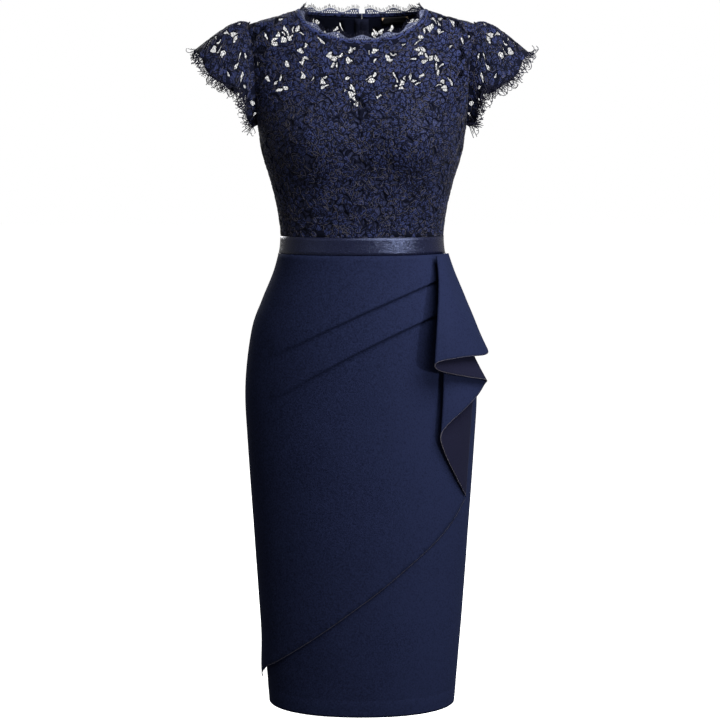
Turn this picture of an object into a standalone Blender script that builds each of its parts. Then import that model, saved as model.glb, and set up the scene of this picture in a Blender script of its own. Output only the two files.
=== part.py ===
"""A fitted knee-length cocktail dress in the hollow form that it has when worn.

The bodice is lace: sheer above a sweetheart lining, with cap sleeves and eyelash edges. A satin
ribbon covers the waist seam. The pencil skirt has a wrap front with two tucks, and the wrap's
free edge falls in a cascade at the wearer's left hip. A concealed zip runs down the centre back.

Every piece is cut flat and laid on one figure. A point of the figure is found from u, the
distance along a level section from the centre front or back, and z, its height. The origin is
midway between the two neck points of the shoulders, where the wearer holds the dress up.
X points to the wearer's left, the front faces -Y and Z is up. Lengths are in metres.
"""

import math

import bmesh
import bpy
import numpy as np
from mathutils import Matrix, Vector
from mathutils.geometry import delaunay_2d_cdt

# ---- Driving dimensions ---------------------------------------------------------------------

FRONT, BACK = "front", "back"
LEFT, RIGHT = 1.0, -1.0  # the wearer's own sides, as signs of X

SEAM = 0.0003  # between pieces that are sewn edge to edge
SLIVER = 1e-8  # the least area of a flat triangle that is kept, in square metres
LINING_WALL = 0.0010
LACE_WALL = 0.0010
CREPE_WALL = 0.0012
SATIN_WALL = 0.0012

# How far each layer's inner face lies outside the figure.
LINING_OUT = 0.0
LACE_OUT = 0.0021
SKIRT_OUT = 0.0
WRAP_OUT = 0.0028
RIBBON_OUT = 0.0024
BINDING_OUT = 0.0014
BINDING_WALL = 0.0020

WAIST_SEAM = -0.3395
RIBBON_TOP = -0.3268
RIBBON_FOOT = -0.3525
HEM = -1.039

NECK_HALF_WIDTH = 0.0946
NECK_RIDGE = -0.003
NECK_DROP = {FRONT: 0.0527, BACK: 0.001}
BINDING_WIDTH = 0.0045

UNDERARM = -0.172
SHOULDER_TIP = -0.0235
ARMHOLE_REACH = {FRONT: 0.038, BACK: 0.034}

SWEETHEART_TOP = -0.118
SWEETHEART_DIP = 0.028
SWEETHEART_DIP_WIDTH = 0.027
BACK_LINING_TOP = -0.150

CUP_RISE = 0.021
CUP_CENTRE = (0.076, -0.196)
CUP_SPREAD = (0.047, 0.048)

# Level sections of the figure, from above the neck down to the hem.
SECTIONS = (
    # level, height, half_width, front_depth, back_depth, squareness
    ("neck_column", 0.016, 0.050, 0.036, 0.046, 2.0),
    ("high_neck", 0.004, 0.080, 0.044, 0.055, 2.0),
    ("neck_point", -0.003, 0.0946, 0.047, 0.058, 2.0),
    ("inner_shoulder", -0.009, 0.113, 0.051, 0.061, 2.0),
    ("mid_shoulder", -0.017, 0.140, 0.055, 0.065, 2.0),
    ("shoulder_tip", -0.0235, 0.164, 0.058, 0.069, 2.0),
    ("deltoid", -0.034, 0.170, 0.063, 0.074, 2.0),
    ("collar_bone", -0.056, 0.170, 0.071, 0.082, 2.1),
    ("upper_chest", -0.090, 0.166, 0.082, 0.090, 2.1),
    ("chest", -0.130, 0.158, 0.094, 0.095, 2.2),
    ("underarm", -0.172, 0.149, 0.103, 0.096, 2.2),
    ("bust", -0.205, 0.1440, 0.105, 0.094, 2.2),
    ("under_bust", -0.247, 0.1315, 0.098, 0.089, 2.2),
    ("ribs", -0.291, 0.1215, 0.093, 0.086, 2.2),
    ("waist", -0.336, 0.1178, 0.091, 0.086, 2.2),
    ("below_waist", -0.378, 0.1268, 0.095, 0.096, 2.2),
    ("high_hip", -0.423, 0.1452, 0.102, 0.108, 2.2),
    ("mid_hip", -0.468, 0.1610, 0.107, 0.118, 2.2),
    ("hip", -0.551, 0.1710, 0.110, 0.124, 2.2),
    ("thigh", -0.640, 0.1680, 0.109, 0.117, 2.2),
    ("mid_thigh", -0.760, 0.1608, 0.103, 0.106, 2.2),
    ("above_knee", -0.900, 0.1520, 0.094, 0.097, 2.2),
    ("hem", -1.045, 0.1410, 0.082, 0.087, 2.2),
)

# The wrap's free lower edge, from the wearer's right side seam up to the cascade.
WRAP_HEM = (
    # station, x, height
    ("right_corner", -0.1475, -1.005),
    ("corner_rise", -0.1375, -0.975),
    ("right_thigh", -0.1056, -0.946),
    ("inner_right", -0.0529, -0.904),
    ("centre_right", -0.0152, -0.874),
    ("centre_left", 0.0219, -0.845),
    ("inner_left", 0.0641, -0.809),
    ("left_thigh", 0.1070, -0.771),
    ("turn", 0.1310, -0.744),
    ("tip", 0.1490, -0.716),
)

# Two tucks of the wrap run down from the left seam towards the right hip and die away.
TUCKS = (
    # tuck, left_x, left_height, middle_x, middle_height, right_x, right_height, rise
    ("upper_tuck", 0.108, -0.388, -0.015, -0.440, -0.132, -0.498, 0.0050),
    ("lower_tuck", 0.105, -0.437, -0.015, -0.492, -0.130, -0.561, 0.0050),
)
TUCK_SOFT_SIDE = 0.028
TUCK_CLIFF = 0.004
TUCK_FADE = 0.012

# The cascade's cloth turns along these lines, which fan out from the left of the waist. A point
# is given by its walk from the centre front, its height and its distance off the figure.
CASCADE = (
    # line, root walk, height, off, middle walk, height, off, edge walk, height, off
    ("wrap_fold", 0.186, -0.405, 0.0064, 0.174, -0.568, 0.0064, 0.164, -0.710, 0.0062),
    ("back_sweep", 0.152, -0.403, 0.0066, 0.148, -0.560, 0.0092, 0.141, -0.679, 0.0100),
    ("left_fold", 0.121, -0.400, 0.0064, 0.118, -0.528, 0.0120, 0.116, -0.633, 0.0126),
    ("left_turn", 0.118, -0.390, 0.0096, 0.115, -0.516, 0.0165, 0.110, -0.603, 0.0187),
    ("rising_sweep", 0.127, -0.382, 0.0084, 0.130, -0.482, 0.0165, 0.142, -0.571, 0.0247),
    ("right_fold", 0.137, -0.374, 0.0080, 0.147, -0.464, 0.0130, 0.180, -0.546, 0.0210),
    ("right_turn", 0.134, -0.367, 0.0108, 0.141, -0.456, 0.0185, 0.176, -0.537, 0.0290),
    ("falling_sweep", 0.120, -0.361, 0.0116, 0.121, -0.445, 0.0245, 0.134, -0.526, 0.0343),
    ("loop", 0.108, -0.359, 0.0120, 0.099, -0.440, 0.0315, 0.096, -0.514, 0.0383),
    ("loop_turn", 0.106, -0.356, 0.0145, 0.095, -0.433, 0.0380, 0.092, -0.502, 0.0457),
    ("front_sweep", 0.113, -0.3545, 0.0150, 0.112, -0.426, 0.0370, 0.125, -0.498, 0.0447),
    ("tip_fold", 0.126, -0.354, 0.0140, 0.134, -0.428, 0.0275, 0.179, -0.498, 0.0310),
    ("side_return", 0.158, -0.354, 0.0070, 0.176, -0.416, 0.0088, 0.190, -0.466, 0.0088),
)

# Each sleeve spreads from the armhole along these directions, from underarm to shoulder.
SLEEVE = (
    # station, share of the loop, length, outward, forward, upward
    ("underarm", 0.070, 0.0090, 0.86, 0.40, -0.30),
    ("low", 0.120, 0.0125, 0.84, 0.48, -0.22),
    ("low_side", 0.170, 0.0180, 0.76, 0.48, -0.43),
    ("side", 0.210, 0.0230, 0.66, 0.46, -0.60),
    ("corner", 0.245, 0.0290, 0.58, 0.48, -0.66),
    ("front_corner", 0.280, 0.0422, 0.56, 0.45, -0.70),
    ("middle", 0.320, 0.0626, 0.64, 0.38, -0.67),
    ("high", 0.370, 0.0754, 0.73, 0.30, -0.61),
    ("upper_arm", 0.430, 0.0800, 0.82, 0.17, -0.55),
    ("shoulder", 0.500, 0.0843, 0.90, 0.00, -0.43),
)
SLEEVE_START = 0.0185  # the sleeve is open this far on each side of the underarm point
SLEEVE_PUFF = 0.009

SCALLOP_PITCH = 0.038
NECK_TRIM_LOW = 0.0024
NECK_TRIM_RISE = 0.0060
NECK_TRIM_LIFT = 0.35
SLEEVE_SCALLOP_RISE = 0.0045
LASH_STRIP = 0.0025
LASH_LENGTH = 0.0065
LASH_WIDTH = 0.0011
LASH_PITCH = 0.0052
LASH_LEAN = 0.0018
LASH_WALL = 0.0008
NOTCH_HALF_WIDTH = 0.0045

# The lace repeats one flower. The gaps round it are cut through where the lace is sheer.
FLOWER_PITCH = (0.068, 0.060)
FLOWER_PETALS = 7
PETAL_GAP_INNER = 0.0185
PETAL_GAP_OUTER = 0.0300
PETAL_GAP_SPREAD = 0.17
PETAL_GAP_VARIES = 0.35
HEART_GAPS = 4
HEART_GAP_INNER = 0.0060
HEART_GAP_OUTER = 0.0120
HEART_GAP_SPREAD = 0.34
GAP_MARGIN = 0.0035  # the least cloth left between a gap and the panel's edge
GAP_BAR = 0.0012  # the least cloth left between two gaps

ZIP_TOP = -0.010
ZIP_FOOT = -0.500
ZIP_TAPE_WIDTH = 0.010
ZIP_TAPE_WALL = 0.0010
ZIP_TAPE_DEPTH = 0.0021
SLIDER_HEIGHT = -0.024
SLIDER_SIZE = (0.0056, 0.0022, 0.0110)
ARCH_WIRE = 0.0004
ARCH_HALF_SPAN = 0.0019
ARCH_CLEARANCE = 0.0021
TAB_WALL = 0.0008
TAB_LENGTH = 0.0200
TAB_WIDTH = 0.0046
TAB_EYE = (0.0020, 0.0052)

LABEL_SPAN = (0.030, 0.070)
LABEL_HEIGHT = 0.012
LABEL_WALL = 0.0010
LABEL_DEPTH = 0.0022

# ---- The figure -----------------------------------------------------------------------------

SUB_LEVELS = 24
TURN = np.linspace(0.0, math.pi, 241)
SIDE = len(TURN) // 2
WALK_STEP = 0.002
WALKS = np.arange(0.0, 0.56, WALK_STEP)


def through(rows, steps):
    """Catmull-Rom curves through the rows of a table, a column at a time."""
    rows = np.asarray(rows, float)
    ends = np.vstack([2 * rows[0] - rows[1], rows, 2 * rows[-1] - rows[-2]])
    t = np.linspace(0.0, 1.0, steps, endpoint=False)[:, None]
    spans = []
    for a, b, c, d in zip(ends, ends[1:], ends[2:], ends[3:]):
        cubic = (3 * b - a - 3 * c + d) * t**3
        square = (2 * a - 5 * b + 4 * c - d) * t**2
        spans.append(0.5 * (2 * b + (c - a) * t + square + cubic))
    return np.vstack([*spans, rows[-1:]])


def section_outline(half_width, front_depth, back_depth, squareness):
    """Half of a level section, from the centre front round the +X side to the centre back."""
    sine, cosine = np.sin(TURN), np.cos(TURN)
    depth = np.where(cosine >= 0, front_depth, back_depth)
    reach = (sine / half_width) ** squareness + (np.abs(cosine) / depth) ** squareness
    reach = reach ** (-1.0 / squareness)
    return reach * sine, -reach * cosine


class Figure:
    """The form that the dress is cut to, as level sections walked by distance."""

    def __init__(self):
        levels = through([row[1:] for row in SECTIONS], SUB_LEVELS)[::-1]
        self.heights = levels[:, 0]
        outlines = [section_outline(*level[1:]) for level in levels]
        self.x = np.array([x for x, y in outlines])
        self.y = np.array([y for x, y in outlines])
        steps = np.hypot(np.diff(self.x, axis=1), np.diff(self.y, axis=1))
        walked = np.hstack([np.zeros((len(levels), 1)), np.cumsum(steps, axis=1)])
        self.quarter = walked[:, SIDE]
        self.half = walked[:, -1]
        self.walked = walked
        front = [(np.interp(WALKS, w, x), np.interp(WALKS, w, y)) for w, x, y in zip(walked, self.x, self.y)]
        self.by_front = np.array(front).transpose(1, 0, 2)
        back = [
            (np.interp(w[-1] - WALKS, w, x), np.interp(w[-1] - WALKS, w, y))
            for w, x, y in zip(walked, self.x, self.y)
        ]
        self.by_back = np.array(back).transpose(1, 0, 2)

    def to_side(self, z, half=FRONT):
        """The distance from the centre line to the side seam at height z."""
        front = np.interp(z, self.heights, self.quarter)
        if half == FRONT:
            return front
        return np.interp(z, self.heights, self.half) - front

    def bare(self, u, z, half):
        """Points on the figure. On the back, u grows towards -X, so panels face outwards."""
        u, z = np.broadcast_arrays(np.asarray(u, float), np.asarray(z, float))
        count = len(self.heights)
        level = np.clip(np.interp(z, self.heights, np.arange(count)), 0, count - 1.001)
        step = np.clip(np.abs(u) / WALK_STEP, 0, len(WALKS) - 1.001)
        i, j = level.astype(int), step.astype(int)
        a, b = level - i, step - j
        table = self.by_front if half == FRONT else self.by_back
        near = ((i, j, (1 - a) * (1 - b)), (i + 1, j, a * (1 - b)))
        corners = near + ((i, j + 1, (1 - a) * b), (i + 1, j + 1, a * b))
        x, y = (sum(table[axis][p, q] * share for p, q, share in corners) for axis in (0, 1))
        x = x * np.sign(u) * (1 if half == FRONT else -1)
        if half == FRONT:
            across = (np.abs(x) - CUP_CENTRE[0]) / CUP_SPREAD[0]
            along = (z - CUP_CENTRE[1]) / CUP_SPREAD[1]
            y = y - CUP_RISE * np.exp(-(across**2) - along**2)
        return np.stack([x, y, z], axis=-1)

    def at(self, u, z, half, out=0.0):
        """Points that lie the distance out from the figure, along its normal."""
        reach = 0.003
        centre = self.bare(u, z, half)
        along_u = self.bare(np.asarray(u) + reach, z, half) - self.bare(np.asarray(u) - reach, z, half)
        along_z = self.bare(u, np.asarray(z) + reach, half) - self.bare(u, np.asarray(z) - reach, half)
        normal = np.cross(along_u, along_z)
        normal /= np.linalg.norm(normal, axis=-1, keepdims=True)
        return centre + normal * np.asarray(out)[..., None]

    def u_at(self, x, z, half=FRONT):
        """The walk from the centre line to where the section at height z reaches x."""
        u = np.linspace(0.0, float(self.to_side(z, half)), 200)
        reached = np.abs(self.bare(u, np.full(len(u), z), half)[:, 0])
        return math.copysign(float(np.interp(abs(x), reached, u)), x)


FIGURE = Figure()

# ---- Flat outlines --------------------------------------------------------------------------


def neck_point(share, side):
    """(u, z, half) of the neckline at a share of the half turn: 0 in front, 1 behind."""
    half = FRONT if share <= 0.5 else BACK
    z = NECK_RIDGE - NECK_DROP[half] * abs(math.cos(math.pi * share))
    u = FIGURE.u_at(NECK_HALF_WIDTH * math.sin(math.pi * share), z, half)
    return (side if half == FRONT else -side) * u, z, half


def neckline(count, out=0.0):
    """The neckline from the centre back, round the right side and the front, to the back again."""
    shares = [float(share) for share in np.linspace(1.0, 0.0, count // 2 + 1)]
    turns = [(share, RIGHT) for share in shares] + [(share, LEFT) for share in reversed(shares[:-1])]
    return np.array([FIGURE.at(*neck_point(share, side), out) for share, side in turns])


NECK = neckline(120)
NECK_NORMAL = neckline(120, 1.0) - NECK
NECK_WALK = np.concatenate([[0.0], np.cumsum(np.linalg.norm(np.diff(NECK, axis=0), axis=1))])
NECK_LENGTH = float(NECK_WALK[-1])
HALF_NECK = NECK_LENGTH / 2


def along_neck(w):
    """Neckline points, and the direction across the neckline, down the figure's surface."""
    w = np.asarray(w, float)
    point = np.stack([np.interp(w, NECK_WALK, NECK[:, i]) for i in range(3)], axis=-1)
    ahead = np.stack([np.interp(w + 0.002, NECK_WALK, NECK[:, i]) for i in range(3)], axis=-1)
    behind = np.stack([np.interp(w - 0.002, NECK_WALK, NECK[:, i]) for i in range(3)], axis=-1)
    run = ahead - behind
    run /= np.linalg.norm(run, axis=-1, keepdims=True)
    outward = np.stack([np.interp(w, NECK_WALK, NECK_NORMAL[:, i]) for i in range(3)], axis=-1)
    outward -= (outward * run).sum(-1, keepdims=True) * run
    outward /= np.linalg.norm(outward, axis=-1, keepdims=True)
    return point, run, outward


def yoke_top(half, count=23):
    """The lace's upper edge, at the foot of the binding, as (u, z) from shoulder to shoulder."""
    points = []
    for turn in np.linspace(-0.5, 0.5, count):
        share = abs(turn) if half == FRONT else 1 - abs(turn)
        u, z, _ = neck_point(float(share), 1.0)
        points.append((math.copysign(u, turn), z))
    return points


def armhole(half, low, high=SHOULDER_TIP, count=12, allowance=0.0):
    """The armhole's edge on the left half of a panel, from height low up to high, as (u, z)."""
    points = []
    span = SHOULDER_TIP - UNDERARM
    first = math.asin(math.sqrt(max(0.0, min(1.0, (low - UNDERARM) / span))))
    last = math.asin(math.sqrt(max(0.0, min(1.0, (high - UNDERARM) / span))))
    for angle in np.linspace(first, last, count):
        z = UNDERARM + span * math.sin(angle) ** 2
        reach = ARMHOLE_REACH[half] * math.sin(2 * angle) + allowance
        points.append((float(FIGURE.to_side(z, half)) - reach, z))
    return points


def sweetheart(u):
    dip = SWEETHEART_DIP * math.exp(-((u / SWEETHEART_DIP_WIDTH) ** 2))
    return SWEETHEART_TOP - dip - 0.004 * (u / 0.14) ** 2


def lining_top(half, count=11):
    """The lining's upper edge from the centre line to the left armhole, as (u, z)."""
    end_z = sweetheart(0.135) if half == FRONT else BACK_LINING_TOP
    end_u = armhole(half, end_z, count=1)[0][0]
    us = [float(u) for u in np.linspace(0.0, end_u, count)]
    edge = [(u, sweetheart(u) if half == FRONT else BACK_LINING_TOP) for u in us[:-1]]
    return edge + [(end_u, end_z)]


def side_edge(half, low, high, count=6, allowance=SEAM / 2):
    """The side seam of a left-hand panel, from low to high, with its points closest at the waist."""
    steps = np.linspace(0.0, 1.0, count) ** 1.4
    if abs(high - WAIST_SEAM) < abs(low - WAIST_SEAM):
        steps = 1 - steps[::-1]
    return [(float(FIGURE.to_side(z, half)) - allowance, float(z)) for z in low + (high - low) * steps]


# ---- Panels ---------------------------------------------------------------------------------


def spaced(points, step, closed=True):
    """The outline with points added wherever an edge is longer than step."""
    ends = list(zip(points, points[1:] + points[:1])) if closed else list(zip(points, points[1:]))
    dense = []
    for a, b in ends:
        count = max(1, math.ceil(math.dist(a, b) / step))
        dense += [tuple(np.array(a) + (np.array(b) - a) * k / count) for k in range(count)]
    return dense if closed else dense + [tuple(points[-1])]


def inside(points, loop):
    """Which points lie in a closed loop, by the even-odd rule."""
    points = np.asarray(points, float)
    found = np.zeros(len(points), bool)
    for (ax, ay), (bx, by) in zip(loop, list(loop[1:]) + [loop[0]]):
        crosses = (ay > points[:, 1]) != (by > points[:, 1])
        if crosses.any():
            x = ax + (points[crosses, 1] - ay) / (by - ay) * (bx - ax)
            found[crosses] ^= points[crosses, 0] < x
    return found


def clearance(points, chain, closed=True):
    """Distance from each point to a chain of segments."""
    points, chain = np.asarray(points, float), np.asarray(chain, float)
    ends = np.roll(chain, -1, axis=0) if closed else chain[1:]
    starts = chain if closed else chain[:-1]
    least = np.full(len(points), np.inf)
    for a, b in zip(starts, ends):
        run = b - a
        share = np.clip(((points - a) @ run) / max(run @ run, 1e-18), 0, 1)
        least = np.minimum(least, np.linalg.norm(points - a - share[:, None] * run, axis=1))
    return least


def lattice(outline, cell):
    """Evenly set points over an outline's box, in line from panel to panel."""
    low, high = np.min(outline, axis=0), np.max(outline, axis=0)
    us = np.arange(math.ceil(low[0] / cell[0]), math.floor(high[0] / cell[0]) + 1) * cell[0]
    zs = np.arange(math.ceil(low[1] / cell[1]), math.floor(high[1] / cell[1]) + 1) * cell[1]
    grid = np.stack(np.meshgrid(us, zs), axis=-1).reshape(-1, 2)
    grid = grid[inside(grid, outline)]
    return grid[clearance(grid, outline) > 0.3 * min(cell)]


def panel(name, outline, place, wall, cell, material, holes=(), creases=(), edge_step=None, grows=1.0):
    """A piece of cloth cut flat to an outline, with holes, then placed and given its thickness."""
    outline = spaced([tuple(map(float, p)) for p in outline], edge_step or max(cell))
    points, edges = list(outline), [(i, (i + 1) % len(outline)) for i in range(len(outline))]
    grid = lattice(outline, cell)
    for loop in holes:
        grid = grid[~inside(grid, loop)]
        grid = grid[clearance(grid, loop) > 0.12 * min(cell)]
        first = len(points)
        points += [tuple(p) for p in loop]
        edges += [(first + i, first + (i + 1) % len(loop)) for i in range(len(loop))]
    for line in creases:
        grid = grid[clearance(grid, line, closed=False) > 0.25 * min(cell)]
        first = len(points)
        points += [tuple(p) for p in line]
        edges += [(first + i, first + i + 1) for i in range(len(line) - 1)]
    points += [tuple(p) for p in grid]
    made = delaunay_2d_cdt([Vector(p) for p in points], edges, [], 0, 1e-7)
    flat = np.array([tuple(v) for v in made[0]])
    faces = np.array([f for f in made[2] if len(f) == 3])
    corners = flat[faces]
    kept = inside(corners.mean(axis=1), outline)
    kept &= np.abs(np.linalg.det(corners[:, 1:] - corners[:, :1])) > SLIVER
    for loop in holes:
        kept &= ~inside(corners.mean(axis=1), loop)
    faces = faces[kept]
    used, index = np.unique(faces, return_inverse=True)
    placed = place(flat[used, 0], flat[used, 1])
    mesh = bpy.data.meshes.new(name)
    mesh.from_pydata([tuple(p) for p in placed], [], index.reshape(-1, 3).tolist())
    piece = add_object(name, mesh, material)
    solidify = piece.modifiers.new("wall", "SOLIDIFY")
    solidify.thickness = wall
    solidify.offset = grows
    mesh.shade_smooth()
    return piece


def add_object(name, data, material):
    piece = bpy.data.objects.new(name, data)
    data.materials.append(material)
    COLLECTION.objects.link(piece)
    return piece


def on_figure(half, out):
    """A placing function for a layer that lies the distance out from the figure."""
    return lambda u, z: FIGURE.at(u, z, half, out)


def finish(name, colour, roughness, metallic=0.0):
    """A Principled material for one kind of cloth or metal."""
    material = bpy.data.materials.new(name)
    material.use_nodes = True
    shader = material.node_tree.nodes["Principled BSDF"]
    shader.inputs["Base Color"].default_value = (*colour, 1.0)
    shader.inputs["Roughness"].default_value = roughness
    shader.inputs["Metallic"].default_value = metallic
    return material


def clear_scene():
    for piece in list(bpy.data.objects):
        bpy.data.objects.remove(piece)


clear_scene()
COLLECTION = bpy.data.collections.new("cocktail_dress")
bpy.context.scene.collection.children.link(COLLECTION)
LACE = finish("navy_lace", (0.020, 0.026, 0.068), 0.75)
LINING = finish("navy_lining", (0.022, 0.028, 0.075), 0.60)
CREPE = finish("navy_crepe", (0.016, 0.021, 0.056), 0.85)
SATIN = finish("navy_satin", (0.020, 0.024, 0.062), 0.32)
TAPE = finish("zip_tape", (0.014, 0.017, 0.042), 0.80)
METAL = finish("zip_metal", (0.030, 0.036, 0.075), 0.35, 0.6)
LABEL = finish("label_cloth", (0.010, 0.010, 0.012), 0.70)

# ---- Lace gaps ------------------------------------------------------------------------------


def kite(centre, angle, inner, outer, spread):
    """A pointed gap that widens away from a flower's centre."""
    middle = inner + 0.62 * (outer - inner)
    corners = ((inner, 0.0), (middle, spread), (outer, 0.0), (middle, -spread))
    return [
        (centre[0] + r * math.cos(angle + turn), centre[1] + r * math.sin(angle + turn))
        for r, turn in corners
    ]


def flower_centres(low, high):
    """Staggered flower centres over a box, each with its own turn."""
    rows = range(math.floor(low[1] / FLOWER_PITCH[1]), math.ceil(high[1] / FLOWER_PITCH[1]) + 1)
    columns = range(math.floor(low[0] / FLOWER_PITCH[0]) - 1, math.ceil(high[0] / FLOWER_PITCH[0]) + 1)
    for row in rows:
        for column in columns:
            x = (column + 0.5 * (row % 2)) * FLOWER_PITCH[0]
            yield (x, row * FLOWER_PITCH[1]), 0.9 * column + 2.3 * row


def lace_gaps(outline, hearts=True):
    """The gaps between the petals of every flower that fit in an outline."""
    gaps = []
    low, high = np.min(outline, axis=0), np.max(outline, axis=0)
    for centre, turn in flower_centres(low, high):
        around = []
        for k in range(FLOWER_PETALS):
            angle = turn + math.tau * k / FLOWER_PETALS
            spread = PETAL_GAP_SPREAD * (1 + PETAL_GAP_VARIES * math.sin(3 * k + turn))
            around.append(kite(centre, angle, PETAL_GAP_INNER, PETAL_GAP_OUTER, spread))
        for k in range(HEART_GAPS if hearts else 0):
            angle = turn + math.tau * (k + 0.5) / HEART_GAPS
            around.append(kite(centre, angle, HEART_GAP_INNER, HEART_GAP_OUTER, HEART_GAP_SPREAD))
        for gap in around:
            fits = inside(gap, outline).all() and clearance(gap, outline).min() > GAP_MARGIN
            apart = all(
                clearance(gap, other).min() > GAP_BAR and not inside(gap, other).any() for other in gaps
            )
            if fits and apart:
                gaps.append(gap)
    return gaps


# ---- Bodice ---------------------------------------------------------------------------------

BODICE_CELL = (0.027, 0.030)
YOKE_CELL = (0.025, 0.025)
SLEEVE_CELL = (0.022, 0.024)
STRIP_CELL = (0.02, 0.02)


def bodice_half(half, foot):
    """The outline of a lined bodice panel's left half: side seam, armhole and lining top."""
    top = lining_top(half)
    side = side_edge(half, foot, UNDERARM, count=8)
    return side + armhole(half, UNDERARM, top[-1][1])[1:-1] + top[::-1]


def yoke_half(half):
    """The outline of a sheer yoke's left half: lining top, armhole, shoulder and neck."""
    bottom = [(u, z + SEAM) for u, z in lining_top(half)]
    neck = yoke_top(half)
    neck = neck[len(neck) // 2 :]
    shoulder = side_edge(half, SHOULDER_TIP, neck[-1][1], count=8)
    return bottom + armhole(half, bottom[-1][1], count=14)[1:-1] + shoulder[:-1] + neck[::-1]


def split_at_back(half_outline):
    """A centre-back panel for each side, with half a seam to the centre line."""
    start = [(SEAM / 2 + max(0.0, u - SEAM / 2), z) for u, z in half_outline]
    return {LEFT: [(-u, z) for u, z in reversed(start)], RIGHT: start}


def build_bodice():
    """Lining and lace panels. The lace over the lining is the lining's own points, moved out."""
    layers = (
        ("lining", WAIST_SEAM + SEAM / 2, LINING_OUT, LINING_WALL, LINING),
        ("bodice_lace", RIBBON_TOP + SEAM, LACE_OUT, LACE_WALL, LACE),
    )
    for layer, foot, out, wall, material in layers:
        front = bodice_half(FRONT, foot)
        front = front[:-1] + [(-u, z) for u, z in reversed(front)]
        panel(f"{layer}_front", front, on_figure(FRONT, out), wall, BODICE_CELL, material)
        back = split_at_back([(SEAM / 2, foot)] + bodice_half(BACK, foot))
        for side, word in ((LEFT, "left"), (RIGHT, "right")):
            panel(f"{layer}_back_{word}", back[side], on_figure(BACK, out), wall, BODICE_CELL, material)
    yoke = yoke_half(FRONT)
    yoke = yoke[:-1] + [(-u, z) for u, z in reversed(yoke)][:-1]
    back = split_at_back(yoke_half(BACK))
    outlines = (
        ("yoke_lace_front", FRONT, yoke),
        ("yoke_lace_back_left", BACK, back[LEFT]),
        ("yoke_lace_back_right", BACK, back[RIGHT]),
    )
    for name, half, outline in outlines:
        gaps = lace_gaps(outline)
        panel(name, outline, on_figure(half, LACE_OUT), LACE_WALL, YOKE_CELL, LACE, gaps)
        print(f"{name}: {len(gaps)} gaps")


# ---- Neck -----------------------------------------------------------------------------------


def place_binding(w, v):
    """The binding's inner face: w along the neckline, v up from it towards the neck."""
    point, run, outward = along_neck(w)
    return point + np.cross(outward, run) * v[..., None] + outward * BINDING_OUT


def place_neck_trim(w, v):
    """The trim carries on from the binding's edge and lifts a little from the figure."""
    point, run, outward = along_neck(w)
    inward = np.cross(outward, run)
    rise = inward + np.array([0.0, 0.0, NECK_TRIM_LIFT])
    rise /= np.linalg.norm(rise, axis=-1, keepdims=True)
    foot = point + inward * (BINDING_WIDTH + 2 * SEAM) + outward * (BINDING_OUT + 0.7 * BINDING_WALL)
    return foot + rise * v[..., None]


def scallop(w, rise):
    """The waved edge of the lace, w metres along it."""
    return rise * 0.5 * (1 + math.cos(math.tau * w / SCALLOP_PITCH))


def lash_edge(start, end, edge):
    """The upper edge of a trim from start to end, with a pointed lash at every pitch."""
    count = int((end - start) / LASH_PITCH)
    points = []
    for k in range(count):
        w = start + (k + 0.5) * (end - start) / count
        lean = LASH_LEAN * math.sin(2.4 * k)
        root = edge(w)
        points.append((w - LASH_WIDTH / 2, root))
        points.append((w + lean, root + LASH_LENGTH * (0.86 + 0.14 * math.sin(1.7 * k))))
        points.append((w + LASH_WIDTH / 2, root))
    return [(start, edge(start))] + points + [(end, edge(end))]


def build_neck():
    """The binding, open at the zip, and the scalloped trim that stands on its edge."""
    ends = (SEAM / 2, NECK_LENGTH - SEAM / 2)
    foot = [(float(w), SEAM) for w in np.linspace(*ends, 45)]
    edge = [(w, BINDING_WIDTH) for w, v in foot]
    binding = foot + edge[::-1]
    panel("neck_binding", binding, place_binding, BINDING_WALL, STRIP_CELL, LACE, edge_step=0.02)
    ends = (NOTCH_HALF_WIDTH, NECK_LENGTH - NOTCH_HALF_WIDTH)
    top = lash_edge(*ends, lambda w: NECK_TRIM_LOW + scallop(w - HALF_NECK, NECK_TRIM_RISE))
    foot = [(float(w), 0.0) for w in np.linspace(*ends, 43)]
    print(f"neck_trim: {len(top) // 3} lashes")
    trim = foot + top[::-1]
    panel("neck_trim", trim, place_neck_trim, LASH_WALL, STRIP_CELL, LACE, edge_step=0.02, grows=-1.0)


# ---- Sleeves --------------------------------------------------------------------------------


def armhole_loop(side, count=49):
    """The armhole in space, from the underarm up the front, over the shoulder and down the back."""
    points = []
    for share in np.linspace(0.0, 1.0, count):
        half = FRONT if share <= 0.5 else BACK
        z = UNDERARM + (SHOULDER_TIP - UNDERARM) * math.sin(math.pi * share) ** 2
        reach = ARMHOLE_REACH[half] * abs(math.sin(math.tau * share))
        u = float(FIGURE.to_side(z, half)) - reach
        out = LACE_OUT + LACE_WALL + 3 * SEAM
        points.append(FIGURE.at(u * side * (1 if half == FRONT else -1), z, half, out))
    return np.array(points)


ARM_LOOP = {side: armhole_loop(side) for side in (LEFT, RIGHT)}
ARM_WALK = np.concatenate(
    [[0.0], np.cumsum(np.linalg.norm(np.diff(ARM_LOOP[LEFT], axis=0), axis=1))]
)
ARM_LENGTH = float(ARM_WALK[-1])
SLEEVE_ROWS = through([row[1:] for row in SLEEVE], 8)


def sleeve_row(w):
    """(length, outward, forward, upward) of the sleeve at w along the armhole."""
    share = np.interp(w, ARM_WALK, np.linspace(0.0, 1.0, len(ARM_WALK)))
    folded = np.where(share <= 0.5, share, 1 - share)
    columns = [np.interp(folded, SLEEVE_ROWS[:, 0], column) for column in SLEEVE_ROWS.T[1:]]
    length, outward, forward, upward = columns
    return length, outward, np.where(share <= 0.5, forward, -forward), upward


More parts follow.
